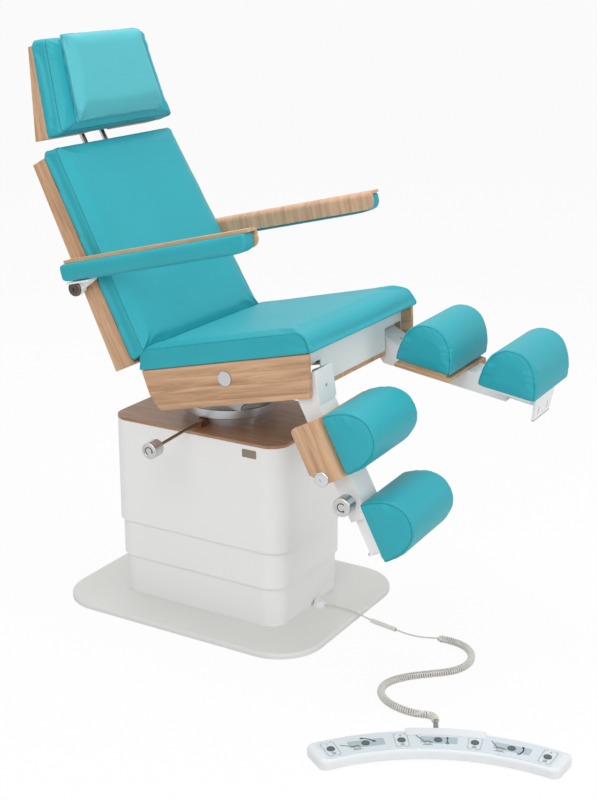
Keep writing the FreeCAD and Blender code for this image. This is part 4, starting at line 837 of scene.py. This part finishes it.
# Finishes of the solids that stay as they are
PLAIN_FINISHES = {
    "base_plate": BASE_ENAMEL, "lift_tube_outer": BRUSHED, "lift_tube_middle": BRUSHED,
    "lift_tube_inner": BRUSHED, "lift_drive": BLACK_STEEL, "lead_gland": HOUSING,
    "lead_sleeve": SLEEVE_SKIN, "lead_relief": RELIEF_SKIN, "foot_sole": RUBBER,
    "swivel_flange": TURNED, "brake_clevis": BRONZE, "swivel_ring": TURNED, "seat_support": BRUSHED,
    "brake_handle": KNOB_METAL, "seat_frame": ENAMEL, "seat_axle": CHROME,
    "back_drive": BLACK_STEEL, "back_frame": BLACK_STEEL, "head_rods": CHROME, "head_mount": BLACK_STEEL,
    "foot_housing": HOUSING, "arm_bracket_near": ENAMEL, "arm_bracket_far": ENAMEL,
    "leg_knob_near": KNOB_METAL, "leg_knob_far": KNOB_METAL,
    **{f"foot_button_{number}": KEY_RUBBER for number in range(1, 8)},
}

# Solids whose sharp edges are softened: node, finish, body and edge width
STEEL_EDGE = 0.0006
OAK_EDGE = 0.0009
BOARD_EDGE = 0.001
CASING_BODIES = {"lower": "base", "middle": "column_middle", "top": "column_top"}
SOFTENED = (
    *((f"column_casing_{level}", ENAMEL, body, STEEL_EDGE) for level, body in CASING_BODIES.items()),
    ("column_top_board", BROWN_BOARD, "column_top", BOARD_EDGE),
    ("seat_shell", OAK["seat"], "seat", OAK_EDGE),
    ("seat_front_panel", ENAMEL, "seat", STEEL_EDGE),
    ("back_shell", OAK["back"], "back", OAK_EDGE),
    ("head_shell", OAK["head"], "head", OAK_EDGE),
    *((f"arm_shell_{side}", OAK[f"arm_{side}"], f"arm_{side}", OAK_EDGE) for side in SIDES),
    *((f"leg_shell_{side}", OAK[f"leg_{side}"], f"leg_{side}", OAK_EDGE) for side in SIDES),
    *((f"leg_arm_{side}", ENAMEL, f"leg_{side}", STEEL_EDGE) for side in SIDES),
    *((f"leg_slide_{side}", ENAMEL, f"calf_slide_{side}", STEEL_EDGE) for side in SIDES),
)


def finish_solids():
    for node, material in PLAIN_FINISHES.items():
        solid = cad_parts[node]
        for slot in solid.material_slots:
            slot.material = material
    for node, material, body, width in SOFTENED:
        softened(node, material, body, width)


# Small trim
def disc(radius, height, edge):
    form = bmesh.new()
    bmesh.ops.create_cone(form, cap_ends=True, segments=48, radius1=radius, radius2=radius, depth=height)
    bmesh.ops.translate(form, vec=(0.0, 0.0, height / 2.0), verts=form.verts)
    bevel_edges(form, edges_at(form, 2, height), edge, 3)
    return form


def socket_cap(radius, height, socket):
    rim = min(radius * 0.22, height * 0.6)
    form = disc(radius, height, rim)
    crown = max(form.faces, key=lambda face: (round(face.calc_center_median().z, 6), face.calc_area()))
    ledge = (radius - rim - socket / 2.0) / 2.0
    for sink in (height * 0.06, -height * 0.1):
        bmesh.ops.inset_region(form, faces=[crown], thickness=ledge)
        bmesh.ops.translate(form, vec=(0.0, 0.0, sink), verts=crown.verts)
    bmesh.ops.inset_region(form, faces=[crown], thickness=socket * 0.08)
    bmesh.ops.translate(form, vec=(0.0, 0.0, -height * 0.4), verts=crown.verts)
    return form


def facing(place, spot, normal):
    turn = UP.rotation_difference(normal).to_matrix().to_4x4()
    return place @ Matrix.Translation(spot) @ turn


BADGE_THICK = 0.0012
BADGE_SPOT = (0.1816, -0.1875, 0.5076)


def make_badge_place():
    form = block((-0.0215, -0.011, 0.0), (0.0215, 0.011, BADGE_THICK))
    round_along(form, 2, lambda p: True, 0.002, 3)
    bevel_edges(form, edges_at(form, 2, BADGE_THICK), 0.0004, 2)
    spot = facing(WORLD, BADGE_SPOT, -OUTWARD)
    trim("badge_place", form, spot, "column_top", PLATE)


LEG_CAP_SPOT = (0.201, 0.096, -0.037)


def make_caps():
    for side in SIDES:
        spot = facing(LEGS[side], LEG_CAP_SPOT, OUTWARD)
        cap = socket_cap(radius=0.0195, height=0.005, socket=0.008)
        trim(f"leg_cap_{side}", cap, spot, f"leg_{side}", CHROME)


# Knob faces: a turning arrow in the dished front
ARROW_RADIUS = 0.0104
ARROW_THICK = 0.0004
ARROW_WIDTH = 0.0026
ARROW_HEAD = 0.0042
ARROW_SWEEP = math.radians(250.0)
BRAKE_YAW = math.radians(269.0)
BRAKE_REACH = 0.145
BRAKE_SPOT = Vector((BRAKE_REACH * math.cos(BRAKE_YAW), BRAKE_REACH * math.sin(BRAKE_YAW), 0.552))
BRAKE_AXIS = Euler((0.0, math.radians(94.0), BRAKE_YAW)).to_matrix() @ UP
BRAKE_FACE = 0.2255
BRAKE_ROD = (0.012, 0.183)
ROD_RADIUS = 0.0043
CLAMP_FACE = (0.281, 0.1025, -0.014)


def turning_arrow():
    form = bmesh.new()
    made = bmesh.ops.create_grid(form, x_segments=1, y_segments=1, size=0.5)
    bmesh.ops.scale(form, vec=(ARROW_WIDTH, ARROW_THICK, 1.0), verts=made["verts"])
    bmesh.ops.rotate(form, matrix=Matrix.Rotation(math.radians(90.0), 3, "X"), verts=made["verts"])
    bmesh.ops.translate(form, vec=(ARROW_RADIUS, 0.0, ARROW_THICK / 2.0), verts=made["verts"])
    bmesh.ops.spin(form, geom=whole(form), cent=(0.0, 0.0, 0.0), axis=UP, angle=ARROW_SWEEP, steps=36)
    head = bmesh.ops.create_cone(form, cap_ends=True, segments=3, radius1=ARROW_HEAD, radius2=ARROW_HEAD,
                                 depth=ARROW_THICK)
    spot = Matrix.Translation((ARROW_RADIUS, -0.0012, ARROW_THICK / 2.0))
    turn = spot @ Matrix.Rotation(math.radians(-90.0), 4, "Z")
    bmesh.ops.transform(form, matrix=turn, verts=head["verts"])
    return form


def make_knob_faces():
    face = facing(WORLD, BRAKE_SPOT + BRAKE_AXIS * BRAKE_FACE, BRAKE_AXIS)
    trim("brake_arrow", turning_arrow(), face, "brake", DARK_PLASTIC)
    rod = disc(ROD_RADIUS, BRAKE_ROD[1] - BRAKE_ROD[0], STEEL_EDGE)
    start = facing(WORLD, BRAKE_SPOT + BRAKE_AXIS * BRAKE_ROD[0], BRAKE_AXIS)
    trim("brake_rod_sleeve", rod, start, "brake", ROD_STEEL)
    for side in SIDES:
        face = facing(LEGS[side], CLAMP_FACE, OUTWARD)
        trim(f"clamp_arrow_{side}", turning_arrow(), face, f"clamp_{side}", DARK_PLASTIC)


# Caps of the arm pivots, screws of the leg roots, and thin dark sheets of painted shade in the end plate
# slots and along its foot
ARM_PIVOT = (0.0, 0.3226, 0.0)
ROOT_SPOT = (-0.004, 0.0, 0.0236)
ROOT_NORMAL = Vector((0.316, 0.0, 0.949))
SLOT_SHIFTS = (-0.073, -0.009)
SLOT_SHADE_SHEET = (0.001, 0.0078, 0.0195)
FOOT_SHADE_SHEET = (0.0068, 0.117, 0.0016)


def make_small_trim():
    for side in SIDES:
        spot = facing(ARMS[side], ARM_PIVOT, OUTWARD)
        cap = socket_cap(radius=0.0198, height=0.006, socket=0.009)
        trim(f"arm_cap_{side}", cap, spot, f"arm_{side}", DARK_CHROME)
        root = facing(LEGS[side], ROOT_SPOT, ROOT_NORMAL)
        screw = socket_cap(radius=0.0042, height=0.0014, socket=0.002)
        trim(f"leg_root_screw_{side}", screw, root, f"leg_{side}", BRUSHED)
        # Painted shade: thin dark sheets in the end plate's slots and along its foot
        shade_sheets = bmesh.new()
        for shift in SLOT_SHIFTS:
            add_block(shade_sheets, SLOT_SHADE_SHEET, (0.4289, shift, -0.027))
        add_block(shade_sheets, FOOT_SHADE_SHEET, (0.431, -0.041, -0.0495))
        body = f"calf_slide_{side}"
        trim(f"end_plate_shade_sheet_{side}", shade_sheets, LEGS[side], body, DARK_PLASTIC)


# Guards behind the front panel's slots: thickness, span and height along the seat's own axes
GUARD_DEPTH = (0.4535, 0.455)
GUARD_HEIGHT = (-0.046, -0.004)
GUARD_SPANS = {"near": (-0.27, -0.17), "far": (0.17, 0.27)}


def make_slot_guards():
    for side, span in GUARD_SPANS.items():
        low, high = zip(GUARD_DEPTH, span, GUARD_HEIGHT)
        trim(f"slot_guard_{side}", block(low, high), SEAT, "seat", ENAMEL)


# Foot control: printed film, one place for each key along the arc
FOOT_CENTRE = Vector((1.135, -0.985, 0.0))
FOOT_TOP = 0.027
KEY_RING = 0.564
KEY_FIRST = 91.0
KEY_STEP = 8.6
FILM_HALF = 0.0365
FILM_ANGLES = (88.6, 144.9)
FILM_THICK = 0.0004
FILM_CORNER = 0.008
FILM_STRIPS = 60
PRINT_THICK = 0.0003
PANEL_CENTRE = (0.002, 0.001)
PANEL_SIZE = (0.086, 0.029)
PANEL_CORNER = 0.0035
FRAME_LINE = 0.0011
TICK_LINE = 0.001
HEAD_LINE = 0.0024
HEAD_REACH = 0.0042
SEAT_LINE = 0.0019
BACK_LINE = 0.0021
SWEEP_LINE = 0.0027
FINE_SWEEP = 0.0026


def on_arc(key_angle, across, up, level):
    angle = math.radians(key_angle) - across / KEY_RING
    reach = KEY_RING + up
    return FOOT_CENTRE + Vector((reach * math.cos(angle), reach * math.sin(angle), level))


def bend_to_arc(form, key_angle, level):
    for point in form.verts:
        point.co = on_arc(key_angle, point.co.x, point.co.y, level + point.co.z)


def rounded_panel(form, centre, size, radius, thick):
    made = bmesh.ops.create_grid(form, x_segments=1, y_segments=1, size=0.5)
    bmesh.ops.scale(form, vec=(size[0], size[1], 1.0), verts=made["verts"])
    bmesh.ops.translate(form, vec=(centre[0], centre[1], 0.0), verts=made["verts"])
    bmesh.ops.bevel(form, geom=made["verts"], offset=radius, offset_type="OFFSET", segments=4,
                    profile=0.5, affect="VERTICES", material=-1)
    extrude(form, form.faces[:][-1:], (0.0, 0.0, thick))


def bar(form, start, end, width):
    run = Vector((end[0] - start[0], end[1] - start[1], 0.0))
    middle = ((start[0] + end[0]) / 2.0, (start[1] + end[1]) / 2.0, PRINT_THICK / 2.0)
    add_block(form, (run.length + width, width, PRINT_THICK), middle, math.atan2(run.y, run.x))


def line(form, points, width):
    for start, end in zip(points, points[1:]):
        bar(form, start, end, width)


def arc_points(centre, radius, first, last, count=14):
    angles = [math.radians(first + (last - first) * step / count) for step in range(count + 1)]
    return [(centre[0] + radius * math.cos(a), centre[1] + radius * math.sin(a)) for a in angles]


def ring(form, centre, radius, width, count=16):
    line(form, arc_points(centre, radius, 0.0, 360.0, count), width)


NUMERALS = {
    1: (((-0.001, 0.0012), (0.0, 0.0024), (0.0, -0.0024)),),
    2: (((-0.0014, 0.0016), (0.0, 0.0025), (0.0014, 0.0014), (-0.0015, -0.0024), (0.0016, -0.0024)),),
    3: (((-0.0013, 0.0024), (0.0013, 0.0024), (0.0, 0.0004), (0.0014, -0.0012), (-0.0012, -0.0024)),),
    4: (((0.0008, -0.0025), (0.0008, 0.0025), (-0.0015, -0.0008), (0.0017, -0.0008)),),
}


def memory_place(pale, number):
    wide, tall, corner = 0.0155, 0.028, 0.004
    for sign in (-1.0, 1.0):
        line(pale, ((sign * wide * 0.55, tall), (sign * (wide - corner), tall), (sign * wide, tall - corner),
                    (sign * wide, corner - tall), (sign * (wide - corner), -tall),
                    (sign * wide * 0.3, -tall)), FRAME_LINE)
    for stroke in NUMERALS[number]:
        line(pale, [(x, y + 0.0215) for x, y in stroke], FRAME_LINE)
    ring(pale, (0.0, -0.019), 0.0042, FRAME_LINE, 20)
    line(pale, ((-0.0014, -0.019), (0.0, -0.0202), (0.0016, -0.0178)), TICK_LINE)


def chair_sign(pale, dark, back_end, leg_end):
    line(pale, ((-0.036, -0.0215), (-0.0135, -0.0215)), BACK_LINE)
    line(pale, ((-0.031, -0.0185), (-0.0185, -0.0185), (-0.017, -0.0085), (-0.0325, -0.0085),
                (-0.031, -0.0185)), SEAT_LINE)
    line(dark, ((-0.033, -0.006), back_end), BACK_LINE)
    line(dark, ((-0.033, -0.006), (-0.0215, -0.0055), leg_end), BACK_LINE)


def arrow_head(dark, tip, angle):
    for turn in (-150.0, 150.0):
        way = math.radians(angle + turn)
        end = (tip[0] + HEAD_REACH * math.cos(way), tip[1] + HEAD_REACH * math.sin(way))
        bar(dark, tip, end, HEAD_LINE)


def back_sign(pale, dark):
    chair_sign(pale, dark, (-0.058, 0.006), (-0.018, -0.006))
    line(dark, arc_points((-0.006, -0.008), 0.029, 28.0, 88.0), FINE_SWEEP)
    arrow_head(dark, (-0.007, 0.0212), 184.0)
    ring(pale, (0.0215, 0.0045), 0.0028, SEAT_LINE)


def lift_sign(pale, dark):
    chair_sign(pale, dark, (-0.049, 0.019), (-0.0135, -0.0105))
    line(dark, ((0.0215, -0.007), (0.0215, 0.01)), SWEEP_LINE)
    arrow_head(dark, (0.0215, 0.0125), 90.0)
    ring(pale, (0.0215, -0.0125), 0.003, SEAT_LINE)


def legs_sign(pale, dark):
    chair_sign(pale, dark, (-0.048, 0.017), (-0.0125, -0.0085))
    line(dark, arc_points((0.006, 0.0), 0.0215, -38.0, 36.0), SWEEP_LINE)
    arrow_head(dark, (0.0225, 0.0145), 130.0)
    ring(pale, (0.0215, -0.0165), 0.003, SEAT_LINE)


# Keys are counted from the right end of the arc
KEY_SIGNS = (4, legs_sign, 3, lift_sign, 2, back_sign, 1)


def printed(name, forms, level, material):
    joined = bmesh.new()
    for index, form in enumerate(forms):
        bend_to_arc(form, KEY_FIRST + KEY_STEP * index, level)
        part = as_mesh(form, name)
        joined.from_mesh(part)
        bpy.data.meshes.remove(part)
    trim(name, joined, WORLD, "base", material)


def make_film():
    form = bmesh.new()
    middle = (FILM_ANGLES[0] + FILM_ANGLES[1]) / 2.0
    length = math.radians(FILM_ANGLES[1] - FILM_ANGLES[0]) * KEY_RING
    rounded_panel(form, (0.0, 0.0), (length, 2.0 * FILM_HALF), FILM_CORNER, FILM_THICK)
    for step in range(1, FILM_STRIPS):
        cut = -length / 2.0 + length * step / FILM_STRIPS
        bmesh.ops.bisect_plane(form, geom=whole(form), dist=1e-7, plane_co=(cut, 0.0, 0.0),
                               plane_no=(1.0, 0.0, 0.0))
    bend_to_arc(form, middle, FOOT_TOP)
    trim("foot_film", form, WORLD, "base", FILM)


def make_foot_print():
    make_film()
    level = FOOT_TOP + FILM_THICK
    pale, dark, panels = [], [], []
    for sign in KEY_SIGNS:
        lines, marks, panel = bmesh.new(), bmesh.new(), bmesh.new()
        if callable(sign):
            rounded_panel(panel, PANEL_CENTRE, PANEL_SIZE, PANEL_CORNER, PRINT_THICK / 2.0)
            sign(lines, marks)
        else:
            memory_place(lines, sign)
        pale.append(lines)
        dark.append(marks)
        panels.append(panel)
    printed("foot_panels", panels, level, FILM_PANEL)
    printed("foot_pale_print", pale, level + PRINT_THICK / 2.0, PALE_INK)
    printed("foot_dark_print", dark, level + PRINT_THICK / 2.0, INK)


# Studio: pale floor, soft lamps and the photograph's camera
FLOOR_REACH = 90.0
FLOOR_TONE = (0.9, 0.9, 0.9)
FLOOR_GLOW = 0.92
SKY_LIGHT = 0.5
LAMPS = {"key": ((1.2, -3.6, 3.4), (0.1, 0.0, 0.8), 2.4, 60.0),
         "front": ((4.2, -0.6, 2.4), (0.1, 0.0, 0.8), 2.4, 42.0),
         "top": ((-0.4, 0.4, 4.2), (0.0, 0.0, 0.6), 2.8, 66.0)}
CAMERA_SPOT = (2.0927, -3.1774, 1.7944)
CAMERA_YAW = 30.51
CAMERA_PITCH = 17.80
CAMERA_ROLL = 0.15
CAMERA_LENS = 65.04


def make_floor():
    form = bmesh.new()
    bmesh.ops.create_grid(form, x_segments=1, y_segments=1, size=FLOOR_REACH)
    floor = placed("studio_floor", as_mesh(form, "studio_floor"))
    finish = Finish("studio floor")
    speck = finish.noise(finish.mapped(), scale=2.0)
    matt = finish.make("BsdfDiffuse", {}, {"Color": finish.scaled(FLOOR_TONE, 0.99 + speck * 0.02)})
    glow = finish.make("Emission", {}, {"Color": WHITE, "Strength": 1.0})
    seen = finish.make("LightPath", output="Is Camera Ray")
    mixed = finish.make("MixShader", {}, {0: seen * FLOOR_GLOW, 1: matt, 2: glow})
    finish.make("OutputMaterial", {}, {"Surface": mixed})
    floor.data.materials.append(finish.holder)


def make_world():
    sky = Finish("studio", bpy.data.worlds)
    rays = [sky.make("LightPath", output=f"Is {kind} Ray") for kind in ("Camera", "Glossy", "Transmission")]
    seen = rays[0].largest(rays[1]).largest(rays[2])
    soft = sky.make("Background", {}, {"Color": WHITE, "Strength": SKY_LIGHT})
    bright = sky.make("Background", {}, {"Color": WHITE, "Strength": 1.0})
    mixed = sky.make("MixShader", {}, {0: seen, 1: soft, 2: bright})
    sky.make("OutputWorld", {}, {"Surface": mixed})
    bpy.context.scene.world = sky.holder


def lamp(name, spot, target, size, power):
    light = bpy.data.lights.new(name, "AREA")
    light.shape = "SQUARE"
    light.size = size
    light.energy = power
    holder = placed(name, light)
    holder.location = spot
    holder.rotation_euler = (Vector(target) - Vector(spot)).to_track_quat("-Z", "Y").to_euler()


def make_camera():
    camera = bpy.data.cameras.new("camera")
    camera.lens = CAMERA_LENS
    camera.sensor_width = 36.0
    camera.sensor_fit = "AUTO"
    holder = placed("camera", camera)
    yaw, pitch = math.radians(CAMERA_YAW), math.radians(CAMERA_PITCH)
    ahead = Vector((-math.sin(yaw) * math.cos(pitch), math.cos(yaw) * math.cos(pitch), -math.sin(pitch)))
    turn = ahead.to_track_quat("-Z", "Y").to_matrix().to_4x4()
    roll = Matrix.Rotation(math.radians(CAMERA_ROLL), 4, "Z")
    holder.matrix_world = Matrix.Translation(CAMERA_SPOT) @ turn @ roll
    bpy.context.scene.camera = holder


def make_studio():
    make_floor()
    make_world()
    for name, values in LAMPS.items():
        lamp(name, *values)
    make_camera()
    bpy.context.scene.view_settings.view_transform = "Standard"


finish_solids()
make_seat_cushion()
make_back_cushion()
make_head_cushion()
make_pillow()
make_calf_pads()
make_arm_pads()
make_lead()
make_badge_place()
make_caps()
make_knob_faces()
make_small_trim()
make_slot_guards()
make_foot_print()
make_studio()
